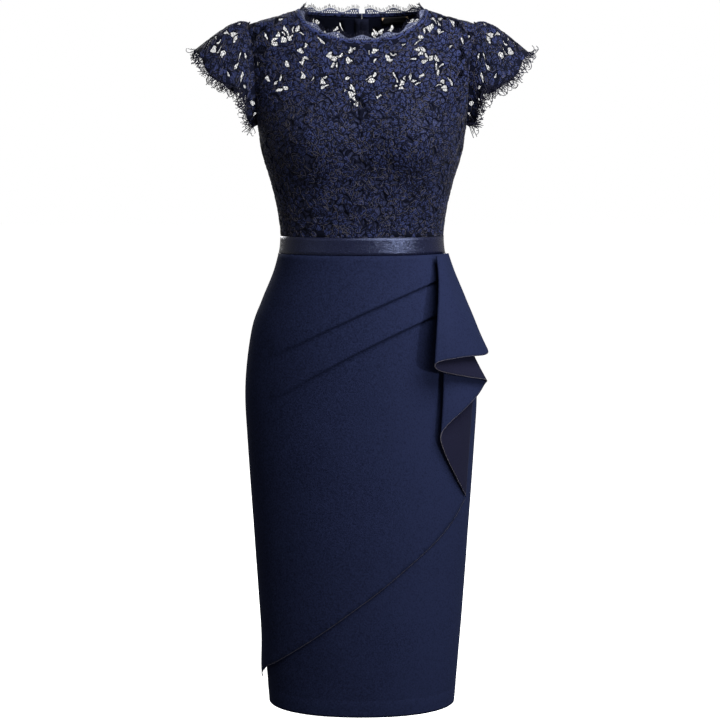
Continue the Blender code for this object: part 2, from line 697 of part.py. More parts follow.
def place_sleeve(side):
    """Placing function of a sleeve: w along the armhole, v out from it."""

    def place(w, v):
        root = np.stack([np.interp(w, ARM_WALK, ARM_LOOP[side][:, i]) for i in range(3)], axis=-1)
        length, outward, forward, upward = sleeve_row(w)
        way = np.stack([side * outward, -forward, upward], axis=-1)
        way /= np.linalg.norm(way, axis=-1, keepdims=True)
        share = np.clip(v / length, 0, 1)
        puff = SLEEVE_PUFF * (length / SLEEVE[-1][2]) * np.sin(np.pi * share**0.6)
        lifted = root + way * v[..., None]
        lifted[..., 2] += puff
        lifted[..., 0] += side * 0.3 * puff
        return lifted

    return place


def sleeve_edge(w):
    """Distance from the armhole to the sleeve's scalloped cloth edge."""
    length = float(sleeve_row(w)[0]) - SLEEVE_SCALLOP_RISE / 2
    return length - LASH_STRIP - SEAM + scallop(w - ARM_LENGTH / 2, SLEEVE_SCALLOP_RISE)


def build_sleeves():
    """Each cap sleeve is open under the arm. Its cloth is cut through, so its trim is its own node."""
    first, last = SLEEVE_START, ARM_LENGTH - SLEEVE_START
    run = [float(w) for w in np.linspace(first, last, 43)]
    root = [(w, 0.0) for w in run]
    edge = [(w, sleeve_edge(w)) for w in run]
    strip_foot = [(w, sleeve_edge(w) + SEAM) for w in run]
    lashes = lash_edge(first, last, lambda w: sleeve_edge(w) + SEAM + LASH_STRIP)
    cloth = root + edge[::-1]
    trim = strip_foot + lashes[::-1]
    gaps = lace_gaps(cloth, hearts=False)
    print(f"sleeve: {len(gaps)} gaps and {len(lashes) // 3} lashes on each side")
    for side, word in ((LEFT, "left"), (RIGHT, "right")):
        place = place_sleeve(side)
        # Along the armhole, the left sleeve's outer side is the one that the plane turns away.
        grows = -1.0 if side == LEFT else 1.0
        panel(f"sleeve_{word}", cloth, place, LACE_WALL, SLEEVE_CELL, LACE, gaps, grows=grows)
        panel(f"sleeve_trim_{word}", trim, place, LASH_WALL, STRIP_CELL, LACE, edge_step=0.02, grows=grows)


# ---- Waist and skirt ------------------------------------------------------------------------

SKIRT_CELL = (0.027, 0.042)
SIDE_SEAM_POINTS = 20


def build_ribbon():
    """The satin ribbon is one length, from one side of the zip to the other."""
    spans = {half: float(FIGURE.to_side(WAIST_SEAM, half)) for half in (FRONT, BACK)}

    def place(w, z):
        """w is nought at the centre front and grows round the left side to the centre back."""
        share = np.clip((np.abs(w) - spans[FRONT]) / spans[BACK], 0, 1)
        u_front = w / spans[FRONT] * FIGURE.to_side(z, FRONT)
        u_back = -np.sign(w) * FIGURE.to_side(z, BACK) * (1 - share)
        ahead = FIGURE.at(u_front, z, FRONT, RIBBON_OUT)
        behind = FIGURE.at(u_back, z, BACK, RIBBON_OUT)
        return np.where((share > 0)[:, None], behind, ahead)

    reach = spans[FRONT] + spans[BACK] - SEAM / 2
    ws = [float(w) for w in np.linspace(-reach, reach, 45)]
    outline = [(w, RIBBON_FOOT) for w in ws] + [(w, RIBBON_TOP) for w in reversed(ws)]
    panel("waist_ribbon", outline, place, SATIN_WALL, (0.05, 0.05), SATIN, edge_step=0.05)


def build_skirt():
    """The straight underskirt: one front and two back panels."""
    top = WAIST_SEAM - SEAM / 2
    side = {half: side_edge(half, HEM, top, count=SIDE_SEAM_POINTS) for half in (FRONT, BACK)}
    front = side[FRONT] + [(-u, z) for u, z in reversed(side[FRONT])]
    back = split_at_back([(SEAM / 2, HEM)] + side[BACK] + [(SEAM / 2, top)])
    pieces = (
        ("skirt_front", FRONT, front),
        ("skirt_back_left", BACK, back[LEFT]),
        ("skirt_back_right", BACK, back[RIGHT]),
    )
    for name, half, outline in pieces:
        panel(name, outline, on_figure(half, SKIRT_OUT), CREPE_WALL, SKIRT_CELL, CREPE, edge_step=0.03)


def tuck_line(tuck, x):
    """Height of a tuck's fold at x: a parabola through its three points."""
    _, x1, z1, x2, z2, x3, z3, _ = tuck
    first = z1 * (x - x2) * (x - x3) / ((x1 - x2) * (x1 - x3))
    second = z2 * (x - x1) * (x - x3) / ((x2 - x1) * (x2 - x3))
    third = z3 * (x - x1) * (x - x2) / ((x3 - x1) * (x3 - x2))
    return first + second + third


def tuck_rise(x, z):
    """How far the tucks lift the wrap: a sharp fold on the left, a soft roll on the right."""
    lifted = np.zeros(np.shape(x))
    for tuck in TUCKS:
        above = z - tuck_line(tuck, x)
        along = np.clip((x - tuck[5]) / (tuck[1] - tuck[5]), 0, 1)
        strength = np.sin(0.62 * np.pi * along**0.75) * np.clip((tuck[1] + TUCK_FADE - x) / TUCK_FADE, 0, 1)
        cliff = TUCK_CLIFF + 0.012 * (1 - along) ** 2
        soft = np.exp(-((above / TUCK_SOFT_SIDE) ** 2))
        sharp = np.clip(1 + above / cliff, 0, 1)
        lifted += tuck[7] * strength * np.where(above >= 0, soft, sharp)
    return lifted


def place_wrap(u, z):
    """The wrap lies over the underskirt, lifted by its tucks and loose at its right corner."""
    flat = FIGURE.bare(u, z, FRONT)
    loose = 0.006 * np.exp(-((z + 1.000) / 0.05) ** 2) * np.clip(-flat[:, 0] / 0.14, 0, 1) ** 6
    return FIGURE.at(u, z, FRONT, WRAP_OUT + tuck_rise(flat[:, 0], z) + loose)


def wrap_fold(count=9):
    """The line where the wrap's cloth turns into the cascade, from its tip up to the side seam."""
    row = CASCADE[0]
    corners = [(row[7], row[8]), (row[4], row[5]), (row[1], row[2])]
    return [tuple(bent(*[np.array(c) for c in corners], share)) for share in np.linspace(0, 1, count)]


def bent(start, middle, end, share):
    """A point of the parabola through three points."""
    control = 2 * middle - 0.5 * (start + end)
    return (1 - share) ** 2 * start + 2 * share * (1 - share) * control + share**2 * end


def build_wrap():
    """The wrap covers the front of the underskirt from the right side seam to the cascade."""
    top = RIBBON_FOOT - 2 * SEAM
    seam = side_edge(FRONT, HEM, WAIST_SEAM - SEAM / 2, count=SIDE_SEAM_POINTS)
    seam = [(u, z) for u, z in seam if z < top - 0.004] + side_edge(FRONT, top, top, count=1)
    right = side_edge(FRONT, WRAP_HEM[0][2], WRAP_HEM[0][2], count=1)
    right = [(-u, z) for u, z in right + [p for p in seam if p[1] > WRAP_HEM[0][2] + 0.004]]
    hem = [(FIGURE.u_at(x, z), z) for x, z in through([row[1:] for row in WRAP_HEM[1:]], 3)]
    fold = [(u - SEAM, z) for u, z in wrap_fold()]
    left = [(u, z) for u, z in seam if z > fold[-1][1] + 0.002]
    outline = [right[0]] + hem + fold + left + right[::-1][:-1]
    creases = []
    for tuck in TUCKS:
        xs = np.linspace(tuck[1], tuck[5], 13)
        for drop in (0.0, 1.0):
            line = []
            for x in xs:
                along = (x - tuck[5]) / (tuck[1] - tuck[5])
                z = tuck_line(tuck, x) - drop * (TUCK_CLIFF + 0.012 * (1 - along) ** 2)
                line.append((FIGURE.u_at(x, z), z))
            creases.append(line)
    panel("skirt_wrap", outline, place_wrap, CREPE_WALL, SKIRT_CELL, CREPE, creases=creases, edge_step=0.03)


def build_cascade(steps=3, rows=6):
    """The wrap's free cloth, folded to and fro along the lines of the cascade."""
    lines = through([row[1:] for row in CASCADE], steps).reshape(-1, 3, 3)
    last = len(lines) - 1

    def place(s, r):
        root, middle, edge = (
            np.stack([np.interp(s * last, np.arange(last + 1), lines[:, k, i]) for i in range(3)], axis=-1)
            for k in range(3)
        )
        u, z, out = bent(root, middle, edge, r[:, None]).T
        return FIGURE.at(u, z, FRONT, out)

    across = [k / last for k in range(last)]
    along = [k / rows for k in range(rows)]
    outline = [(0.0, 1.0 - r) for r in along] + [(s, 0.0) for s in across]
    outline += [(1.0, r) for r in along] + [(1.0 - s, 1.0) for s in across]
    cell = (1.0 / last, 1.0 / rows)
    panel("cascade", outline, place, CREPE_WALL, cell, CREPE, edge_step=1.0, grows=0.0)


# ---- Zip and label --------------------------------------------------------------------------


def build_zip_tape():
    """The zip's tape lies inside the back panels and closes the gap between them."""

    def place(u, z):
        sheer = np.clip((z - BACK_LINING_TOP + 0.004) / 0.030, 0, 1)
        out = -ZIP_TAPE_DEPTH + sheer * LACE_OUT
        return FIGURE.at(u, z, BACK, out)

    edge = [(ZIP_TAPE_WIDTH, float(z)) for z in np.linspace(ZIP_FOOT, ZIP_TOP, 26)]
    outline = edge + [(-u, z) for u, z in reversed(edge)]
    panel("zip_tape", outline, place, ZIP_TAPE_WALL, (ZIP_TAPE_WIDTH, 0.04), TAPE, edge_step=0.03)


def zip_frame():
    """A matrix at the slider: X across the back, Y out of it and Z up along the zip."""
    here = FIGURE.at(0.0, SLIDER_HEIGHT, BACK, LACE_OUT + LACE_WALL + SEAM)
    up = FIGURE.at(0.0, SLIDER_HEIGHT + 0.004, BACK) - FIGURE.at(0.0, SLIDER_HEIGHT - 0.004, BACK)
    up = Vector(up).normalized()
    out = Vector((1.0, 0.0, 0.0)).cross(up) * -1.0
    across = out.cross(up)
    turned = Matrix((across, out, up)).transposed().to_4x4()
    return Matrix.Translation(Vector(here)) @ turned


def build_slider():
    """The slider's body with its arch, and the pull tab whose crossbar turns under the arch."""
    place = zip_frame()
    width, depth, height = SLIDER_SIZE
    body = bmesh.new()
    bmesh.ops.create_cube(body, size=1.0)
    bmesh.ops.scale(body, vec=SLIDER_SIZE, verts=body.verts)
    bmesh.ops.translate(body, vec=(0.0, depth / 2, 0.0), verts=body.verts)
    bmesh.ops.bevel(body, geom=body.edges, offset=0.0005, segments=1, affect="EDGES")
    mesh = bpy.data.meshes.new("zip_slider")
    body.to_mesh(mesh)
    body.free()
    slider = add_object("zip_slider", mesh, METAL)
    slider.matrix_world = place
    arch = bmesh.new()
    top = depth + ARCH_CLEARANCE + ARCH_WIRE
    foot = depth - 0.0008
    for low, high, z in ((foot, top + ARCH_WIRE, ARCH_HALF_SPAN), (foot, top + ARCH_WIRE, -ARCH_HALF_SPAN)):
        leg = bmesh.ops.create_cube(arch, size=1.0)["verts"]
        bmesh.ops.scale(arch, vec=(0.0010, high - low, 2 * ARCH_WIRE), verts=leg)
        bmesh.ops.translate(arch, vec=(0.0, (low + high) / 2, z), verts=leg)
    arch_mesh = bpy.data.meshes.new("arch_legs")
    arch.to_mesh(arch_mesh)
    arch.free()
    legs = bpy.data.objects.new("arch_legs", arch_mesh)
    beam = bmesh.new()
    bmesh.ops.create_cube(beam, size=1.0)
    bmesh.ops.scale(beam, vec=(0.0011, 2 * ARCH_WIRE, 2 * ARCH_HALF_SPAN + 3 * ARCH_WIRE), verts=beam.verts)
    bmesh.ops.translate(beam, vec=(0.0, top, 0.0), verts=beam.verts)
    beam_mesh = bpy.data.meshes.new("arch_beam")
    beam.to_mesh(beam_mesh)
    beam.free()
    crown = bpy.data.objects.new("arch_beam", beam_mesh)
    for helper in (legs, crown):
        HELPERS.objects.link(helper)
        helper.hide_render = True
        helper.display_type = "WIRE"
        helper.matrix_world = place
        join = slider.modifiers.new("join_" + helper.name, "BOOLEAN")
        join.operation = "UNION"
        join.object = helper
    build_tab(place, depth)


def build_tab(place, depth):
    """A teardrop tab. Its origin is on the crossbar, which is the hinge's axis."""
    eye_width, eye_length = TAB_EYE
    bar = 0.0004
    outline = [
        (-TAB_WIDTH / 2 + 0.0008, bar),
        (TAB_WIDTH / 2 - 0.0008, bar),
        (TAB_WIDTH / 2 - 0.0002, -0.0010),
        (TAB_WIDTH / 2 - 0.0002, -0.0070),
        (TAB_WIDTH / 2, -0.0140),
    ]
    centre, radius = -TAB_LENGTH + TAB_WIDTH / 2, TAB_WIDTH / 2
    outline += [
        (radius * math.cos(angle), centre + radius * math.sin(angle))
        for angle in np.linspace(0.0, -math.pi, 9)
    ]
    outline += [(-x, z) for x, z in reversed(outline[2:5])]
    eye = [
        (-eye_width / 2, -bar),
        (eye_width / 2, -bar),
        (eye_width / 2, -bar - eye_length),
        (-eye_width / 2, -bar - eye_length),
    ]
    data = bpy.data.curves.new("zip_pull", "CURVE")
    data.dimensions = "2D"
    data.fill_mode = "BOTH"
    data.extrude = TAB_WALL / 2
    for loop in (outline, eye):
        spline = data.splines.new("POLY")
        spline.points.add(len(loop) - 1)
        for point, (x, z) in zip(spline.points, loop):
            point.co = (x, z, 0.0, 1.0)
        spline.use_cyclic_u = True
    hinge = bpy.data.objects.new("zip_pull_hinge", None)
    COLLECTION.objects.link(hinge)
    hinge.matrix_world = place @ Matrix.Translation((0.0, depth + ARCH_CLEARANCE / 2, 0.0))
    tab = add_object("zip_pull", data, METAL)
    tab.parent = hinge
    tab.matrix_local = Matrix.Rotation(math.radians(90.0), 4, "X")
    print("pull hinge at", [round(x, 5) for x in hinge.matrix_world.translation])


def build_label():
    """A plain woven label sewn inside the left back, just under the binding."""
    start, end = NECK_LENGTH - LABEL_SPAN[1], NECK_LENGTH - LABEL_SPAN[0]

    def place(w, v):
        point, run, outward = along_neck(w)
        return point + np.cross(outward, run) * v[..., None] + outward * (LACE_OUT - LABEL_DEPTH)

    top = [(float(w), -0.0012) for w in np.linspace(start, end, 5)]
    foot = [(w, -LABEL_HEIGHT) for w, v in top]
    panel("label", foot + top[::-1], place, LABEL_WALL, (0.012, 0.012), LABEL, edge_step=0.02)


HELPERS = bpy.data.collections.new("helpers")
bpy.context.scene.collection.children.link(HELPERS)


def build():
    build_bodice()
    build_neck()
    build_sleeves()
    build_ribbon()
    build_skirt()
    build_wrap()
    build_cascade()
    build_zip_tape()
    build_slider()
    build_label()


build()
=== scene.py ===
# %% [markdown]
# # A lace and crepe cocktail dress
#
# The dress stands in the hollow form that it has when worn. Its bodice is lace, sheer above a
# sweetheart lining, with cap sleeves and eyelash edges. A satin ribbon covers the waist seam, and
# the wrap of the pencil skirt falls in a cascade at the wearer's left hip.
#
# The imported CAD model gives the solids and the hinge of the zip's pull. The cells below dress that
# model. Each says what a piece or a finish is, how it could be made, and why this way was chosen.

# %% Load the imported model
import math

import bpy
import numpy as np
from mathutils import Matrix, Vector
from mathutils.geometry import delaunay_2d_cdt


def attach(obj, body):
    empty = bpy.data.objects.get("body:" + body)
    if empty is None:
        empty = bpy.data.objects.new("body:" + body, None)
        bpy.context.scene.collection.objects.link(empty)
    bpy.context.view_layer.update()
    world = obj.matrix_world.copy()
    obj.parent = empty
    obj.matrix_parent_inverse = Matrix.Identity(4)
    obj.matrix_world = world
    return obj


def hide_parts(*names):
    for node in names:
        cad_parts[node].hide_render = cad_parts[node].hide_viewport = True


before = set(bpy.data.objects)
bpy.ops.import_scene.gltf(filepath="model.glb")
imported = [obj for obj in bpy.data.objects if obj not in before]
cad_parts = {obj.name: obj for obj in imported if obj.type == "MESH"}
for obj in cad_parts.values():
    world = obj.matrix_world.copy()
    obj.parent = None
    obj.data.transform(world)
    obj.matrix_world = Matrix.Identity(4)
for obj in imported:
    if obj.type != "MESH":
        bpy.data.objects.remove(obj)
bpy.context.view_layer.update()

FRONT, BACK = "front", "back"
LEFT, RIGHT = 1.0, -1.0  # the wearer's own sides, as signs of X

# %% [markdown]
# ## Camera and studio
#
# The camera comes first, because every later choice of size and detail is judged through it. A long
# lens from about two metres keeps the dress nearly free of perspective. It looks slightly down.
#
# A pale studio is a white floor, a white surround and soft lamps. The key is a large lamp close by
# on the right and above, so the left and the foot of the dress fall into shade and its form reads.
# A small lamp level with the waist puts the highlight on the satin, and two more, on the left and
# behind, open the shade.
# The surround is white to the camera and dim as a light, and the floor throws no light back, because
# dark cloth that is lit from all sides looks flat.

# %% Camera and studio
CAMERA_PLACE = (-0.0029, -2.1, -0.2507)
CAMERA_AIM = (-0.0029, 0.0, -0.5132)
CAMERA_LENS = 70.54
SENSOR_WIDTH = 36.0
FLOOR_HEIGHT = -1.20
FLOOR_SIDE = 60.0
SURROUND_LIGHT = 0.30
SURROUND_TINT = (1.0, 0.98, 0.95, 1.0)
WHITE = (1.0, 1.0, 1.0, 1.0)
FLOOR_GREY = (0.93, 0.93, 0.93, 1.0)
FLOOR_GLOW = 0.75
LAMPS = (
    # lamp, azimuth to the camera's right, distance, height, aimed at height, side, watts
    ("key", 37.0, 1.30, 0.80, -0.45, 1.1, 78.0),
    ("gloss", 36.0, 1.60, -0.41, -0.36, 0.09, 16.5),
    ("fill", -50.0, 2.20, 0.60, -0.45, 1.2, 5.0),
    ("behind", 200.0, 2.20, 0.60, -0.45, 1.4, 45.0),
)


def aim_camera(place, aim, lens):
    data = bpy.data.cameras.new("camera")
    data.lens = lens
    data.sensor_width = SENSOR_WIDTH
    camera = bpy.data.objects.new("camera", data)
    camera.location = place
    camera.rotation_euler = (Vector(aim) - Vector(place)).to_track_quat("-Z", "Y").to_euler()
    bpy.context.scene.collection.objects.link(camera)
    bpy.context.scene.camera = camera


def hang_lamp(name, azimuth, distance, height, aim, side, watts):
    """A square soft lamp in a direction that is counted from the camera's own, to its right."""
    turn = math.radians(azimuth)
    place = Vector((distance * math.sin(turn), -distance * math.cos(turn), height))
    data = bpy.data.lights.new(name, "AREA")
    data.energy = watts
    data.size = side
    lamp = bpy.data.objects.new(name, data)
    lamp.location = place
    lamp.rotation_euler = (Vector((0.0, 0.0, aim)) - place).to_track_quat("-Z", "Y").to_euler()
    bpy.context.scene.collection.objects.link(lamp)


def light_surround(strength):
    """A world that looks white and lights the dress with less than that."""
    world = bpy.data.worlds.new("studio")
    world.use_nodes = True
    tree = world.node_tree
    dim = tree.nodes["Background"]
    dim.inputs["Color"].default_value = SURROUND_TINT
    dim.inputs["Strength"].default_value = strength
    white = tree.nodes.new("ShaderNodeBackground")
    white.inputs["Color"].default_value = WHITE
    ray = tree.nodes.new("ShaderNodeLightPath")
    mix = tree.nodes.new("ShaderNodeMixShader")
    tree.links.new(ray.outputs["Is Camera Ray"], mix.inputs["Fac"])
    tree.links.new(dim.outputs["Background"], mix.inputs[1])
    tree.links.new(white.outputs["Background"], mix.inputs[2])
    tree.links.new(mix.outputs["Shader"], tree.nodes["World Output"].inputs["Surface"])
    bpy.context.scene.world = world


def lay_floor(height, side):
    mesh = bpy.data.meshes.new("floor")
    reach = side / 2
    corners = [(-reach, -reach, height), (reach, -reach, height), (reach, reach, height), (-reach, reach, height)]
    mesh.from_pydata(corners, [], [(0, 1, 2, 3)])
    floor = bpy.data.objects.new("floor", mesh)
    bpy.context.scene.collection.objects.link(floor)
    pale = bpy.data.materials.new("pale_floor")
    pale.use_nodes = True
    shader = pale.node_tree.nodes["Principled BSDF"]
    shader.inputs["Base Color"].default_value = FLOOR_GREY
    shader.inputs["Roughness"].default_value = 0.9
    shader.inputs["Emission Color"].default_value = WHITE
    shader.inputs["Emission Strength"].default_value = FLOOR_GLOW
    mesh.materials.append(pale)
    floor.visible_diffuse = floor.visible_glossy = False


aim_camera(CAMERA_PLACE, CAMERA_AIM, CAMERA_LENS)
for lamp in LAMPS:
    hang_lamp(*lamp)
light_surround(SURROUND_LIGHT)
lay_floor(FLOOR_HEIGHT, FLOOR_SIDE)
bpy.context.scene.view_settings.view_transform = "Standard"
print("lamps:", ", ".join(lamp[0] for lamp in LAMPS))

# %% [markdown]
# ## The figure
#
# A dress is cut to a figure, so every panel below is drawn flat and then laid on one form. The
# form is a stack of level sections, each a rounded oval with its own width and depth. A point of it
# is found from u, the distance walked round a section from the centre line, and z, its height.
# This is how a dressmaker's tape measures a body, so a panel drawn in u and z keeps its real size.
# Sculpting the form by hand would look as good, but no two layers would then fit each other.

# %% Level sections of the figure
SECTIONS = (
    # level, height, half_width, front_depth, back_depth, squareness
    ("neck_column", 0.016, 0.050, 0.036, 0.046, 2.0),
    ("high_neck", 0.004, 0.080, 0.044, 0.055, 2.0),
    ("neck_point", -0.003, 0.0946, 0.047, 0.058, 2.0),
    ("inner_shoulder", -0.009, 0.113, 0.051, 0.061, 2.0),
    ("mid_shoulder", -0.017, 0.140, 0.055, 0.065, 2.0),
    ("shoulder_tip", -0.0235, 0.164, 0.058, 0.069, 2.0),
    ("deltoid", -0.034, 0.170, 0.063, 0.074, 2.0),
    ("collar_bone", -0.056, 0.170, 0.071, 0.082, 2.1),
    ("upper_chest", -0.090, 0.166, 0.082, 0.090, 2.1),
    ("chest", -0.130, 0.158, 0.094, 0.095, 2.2),
    ("underarm", -0.172, 0.149, 0.103, 0.096, 2.2),
    ("bust", -0.205, 0.1440, 0.105, 0.094, 2.2),
    ("under_bust", -0.247, 0.1315, 0.098, 0.089, 2.2),
    ("ribs", -0.291, 0.1215, 0.093, 0.086, 2.2),
    ("waist", -0.336, 0.1178, 0.091, 0.086, 2.2),
    ("below_waist", -0.378, 0.1268, 0.095, 0.096, 2.2),
    ("high_hip", -0.423, 0.1452, 0.102, 0.108, 2.2),
    ("mid_hip", -0.468, 0.1610, 0.107, 0.118, 2.2),
    ("hip", -0.551, 0.1710, 0.110, 0.124, 2.2),
    ("thigh", -0.640, 0.1680, 0.109, 0.117, 2.2),
    ("mid_thigh", -0.760, 0.1608, 0.103, 0.106, 2.2),
    ("above_knee", -0.900, 0.1520, 0.094, 0.097, 2.2),
    ("hem", -1.045, 0.1410, 0.082, 0.087, 2.2),
)
CUP_RISE = 0.021
CUP_CENTRE = (0.076, -0.196)
CUP_SPREAD = (0.047, 0.048)
SUB_LEVELS = 24
TURN = np.linspace(0.0, math.pi, 241)
SIDE = len(TURN) // 2
WALK_STEP = 0.002
WALK_REACH = 0.56  # further than any half section runs
WALKS = np.arange(0.0, WALK_REACH, WALK_STEP)
NORMAL_REACH = 0.003  # points this far to each side give a normal


def through(rows, steps):
    """Catmull-Rom curves through the rows of a table, a column at a time."""
    rows = np.asarray(rows, float)
    ends = np.vstack([2 * rows[0] - rows[1], rows, 2 * rows[-1] - rows[-2]])
    t = np.linspace(0.0, 1.0, steps, endpoint=False)[:, None]
    spans = []
    for a, b, c, d in zip(ends, ends[1:], ends[2:], ends[3:]):
        cubic = (3 * b - a - 3 * c + d) * t**3
        square = (2 * a - 5 * b + 4 * c - d) * t**2
        spans.append(0.5 * (2 * b + (c - a) * t + square + cubic))
    return np.vstack([*spans, rows[-1:]])


def section_outline(half_width, front_depth, back_depth, squareness):
    """Half of a level section, from the centre front round the +X side to the centre back."""
    sine, cosine = np.sin(TURN), np.cos(TURN)
    depth = np.where(cosine >= 0, front_depth, back_depth)
    reach = (sine / half_width) ** squareness + (np.abs(cosine) / depth) ** squareness
    reach = reach ** (-1.0 / squareness)
    return reach * sine, -reach * cosine


# %% The figure's surface
class Figure:
    """The form that the dress is cut to, as level sections walked by distance."""

    def __init__(self):
        levels = through([row[1:] for row in SECTIONS], SUB_LEVELS)[::-1]
        self.heights = levels[:, 0]
        outlines = [section_outline(*level[1:]) for level in levels]
        x = np.array([outline[0] for outline in outlines])
        y = np.array([outline[1] for outline in outlines])
        steps = np.hypot(np.diff(x, axis=1), np.diff(y, axis=1))
        walked = np.hstack([np.zeros((len(levels), 1)), np.cumsum(steps, axis=1)])
        self.quarter = walked[:, SIDE]
        self.half = walked[:, -1]
        self.walked = {
            half: np.array([self.walk(w, a, b, half) for w, a, b in zip(walked, x, y)]).transpose(1, 0, 2)
            for half in (FRONT, BACK)
        }

    @staticmethod
    def walk(walked, x, y, half):
        """The section's points at even walks from the centre front or the centre back."""
        at = WALKS if half == FRONT else walked[-1] - WALKS
        return np.interp(at, walked, x), np.interp(at, walked, y)

    def to_side(self, z, half=FRONT):
        """The distance from the centre line to the side seam at height z."""
        front = np.interp(z, self.heights, self.quarter)
        return front if half == FRONT else np.interp(z, self.heights, self.half) - front

    def bare(self, u, z, half):
        """Points on the figure. On the back, u grows towards -X, so panels face outwards."""
        u, z = np.broadcast_arrays(np.asarray(u, float), np.asarray(z, float))
        count = len(self.heights)
        level = np.clip(np.interp(z, self.heights, np.arange(count)), 0, count - 1.001)
        step = np.clip(np.abs(u) / WALK_STEP, 0, len(WALKS) - 1.001)
        i, j = level.astype(int), step.astype(int)
        a, b = level - i, step - j
        near = ((i, j, (1 - a) * (1 - b)), (i + 1, j, a * (1 - b)))
        corners = near + ((i, j + 1, (1 - a) * b), (i + 1, j + 1, a * b))
        table = self.walked[half]
        x, y = (sum(table[axis][p, q] * share for p, q, share in corners) for axis in (0, 1))
        x = x * np.sign(u) * (1 if half == FRONT else -1)
        if half == FRONT:
            across = (np.abs(x) - CUP_CENTRE[0]) / CUP_SPREAD[0]
            along = (z - CUP_CENTRE[1]) / CUP_SPREAD[1]
            y = y - CUP_RISE * np.exp(-(across**2) - along**2)
        return np.stack([x, y, z], axis=-1)

    def at(self, u, z, half, out=0.0):
        """Points that lie the distance out from the figure, along its normal."""
        u, z = np.asarray(u, float), np.asarray(z, float)
        along_u = self.bare(u + NORMAL_REACH, z, half) - self.bare(u - NORMAL_REACH, z, half)
        along_z = self.bare(u, z + NORMAL_REACH, half) - self.bare(u, z - NORMAL_REACH, half)
        normal = np.cross(along_u, along_z)
        normal /= np.linalg.norm(normal, axis=-1, keepdims=True)
        return self.bare(u, z, half) + normal * np.asarray(out)[..., None]

    def u_at(self, x, z, half=FRONT):
        """The walk from the centre line to where the section at height z reaches x."""
        u = np.linspace(0.0, float(self.to_side(z, half)), 200)
        reached = np.abs(self.bare(u, np.full(len(u), z), half)[:, 0])
        return math.copysign(float(np.interp(abs(x), reached, u)), x)


FIGURE = Figure()
waist = dict(row[:2] for row in SECTIONS)["waist"]
print("round the waist:", round(2 * float(np.interp(waist, FIGURE.heights, FIGURE.half)), 3), "m")

# %% [markdown]
# ## Flat outlines, cut and laid
#
# A panel is cut as in a workroom. Its outline is drawn flat, holes and fold lines are marked on it,
# and a triangulation fills it with even cells. A placing function then lays every point on the
# figure, and a Solidify modifier gives the cloth its thickness. The flat place of each point is kept
# as a UV map, so a weave lies straight on the cloth however the cloth is bent.

# %% Cutting cloth
SLIVER = 1e-9  # the least area of a flat triangle that is kept, in square metres
MERGE = 1e-7  # points of a panel that are closer than this become one
SEAM = 0.0003  # between pieces that are sewn edge to edge
HOLE_REACH = 0.03  # no hole is wider
EDGE_ROOM, HOLE_ROOM, CREASE_ROOM = 0.35, 0.2, 0.3  # shares of a cell, free beside a line
GOODS = bpy.data.collections.new("cocktail_dress")
bpy.context.scene.collection.children.link(GOODS)


def spaced(points, step, closed=True):
    """The outline with points added wherever an edge is longer than step."""
    points = [tuple(map(float, p)) for p in points]
    ends = list(zip(points, points[1:] + points[:1])) if closed else list(zip(points, points[1:]))
    dense = []
    for a, b in ends:
        count = max(1, math.ceil(math.dist(a, b) / step))
        dense += [tuple(np.array(a) + (np.array(b) - a) * k / count) for k in range(count)]
    return dense if closed else dense + [tuple(points[-1])]


def inside(points, loop):
    """Which points lie in a closed loop, by the even-odd rule."""
    points = np.asarray(points, float)
    found = np.zeros(len(points), bool)
    for (ax, ay), (bx, by) in zip(loop, [*loop[1:], loop[0]]):
        crosses = (ay > points[:, 1]) != (by > points[:, 1])
        if crosses.any():
            x = ax + (points[crosses, 1] - ay) / (by - ay) * (bx - ax)
            found[crosses] ^= points[crosses, 0] < x
    return found


def clearance(points, chain, closed=True):
    """Distance from each point to a chain of segments, and the nearest point of the chain."""
    points, chain = np.asarray(points, float), np.asarray(chain, float)
    ends = np.roll(chain, -1, axis=0) if closed else chain[1:]
    starts = chain if closed else chain[:-1]
    least = np.full(len(points), np.inf)
    nearest = np.zeros_like(points)
    for a, b in zip(starts, ends):
        run = b - a
        share = np.clip(((points - a) @ run) / max(run @ run, 1e-18), 0, 1)
        foot = a + share[:, None] * run
        away = np.linalg.norm(points - foot, axis=1)
        closer = away < least
        least[closer], nearest[closer] = away[closer], foot[closer]
    return least, nearest


def lattice(outline, cell):
    """Evenly set points inside an outline, clear of its edge."""
    low, high = np.min(outline, axis=0), np.max(outline, axis=0)
    us = np.arange(math.ceil(low[0] / cell[0]), math.floor(high[0] / cell[0]) + 1) * cell[0]
    zs = np.arange(math.ceil(low[1] / cell[1]), math.floor(high[1] / cell[1]) + 1) * cell[1]
    grid = np.stack(np.meshgrid(us, zs), axis=-1).reshape(-1, 2)
    grid = grid[inside(grid, outline)]
    return grid[clearance(grid, outline)[0] > EDGE_ROOM * min(cell)]


def mesh_object(name, points, faces, materials, uv):
    """A smooth mesh object at the origin, with its flat place as a UV map."""
    mesh = bpy.data.meshes.new(name)
    mesh.from_pydata(np.asarray(points, float).tolist(), [], [list(map(int, f)) for f in faces])
    for material in materials:
        mesh.materials.append(material)
    corner = np.empty(len(mesh.loops), int)
    mesh.loops.foreach_get("vertex_index", corner)
    layer = mesh.uv_layers.new(name="cloth")
    layer.data.foreach_set("uv", np.asarray(uv, float)[corner].ravel())
    mesh.shade_smooth()
    piece = bpy.data.objects.new(name, mesh)
    GOODS.objects.link(piece)
    return piece


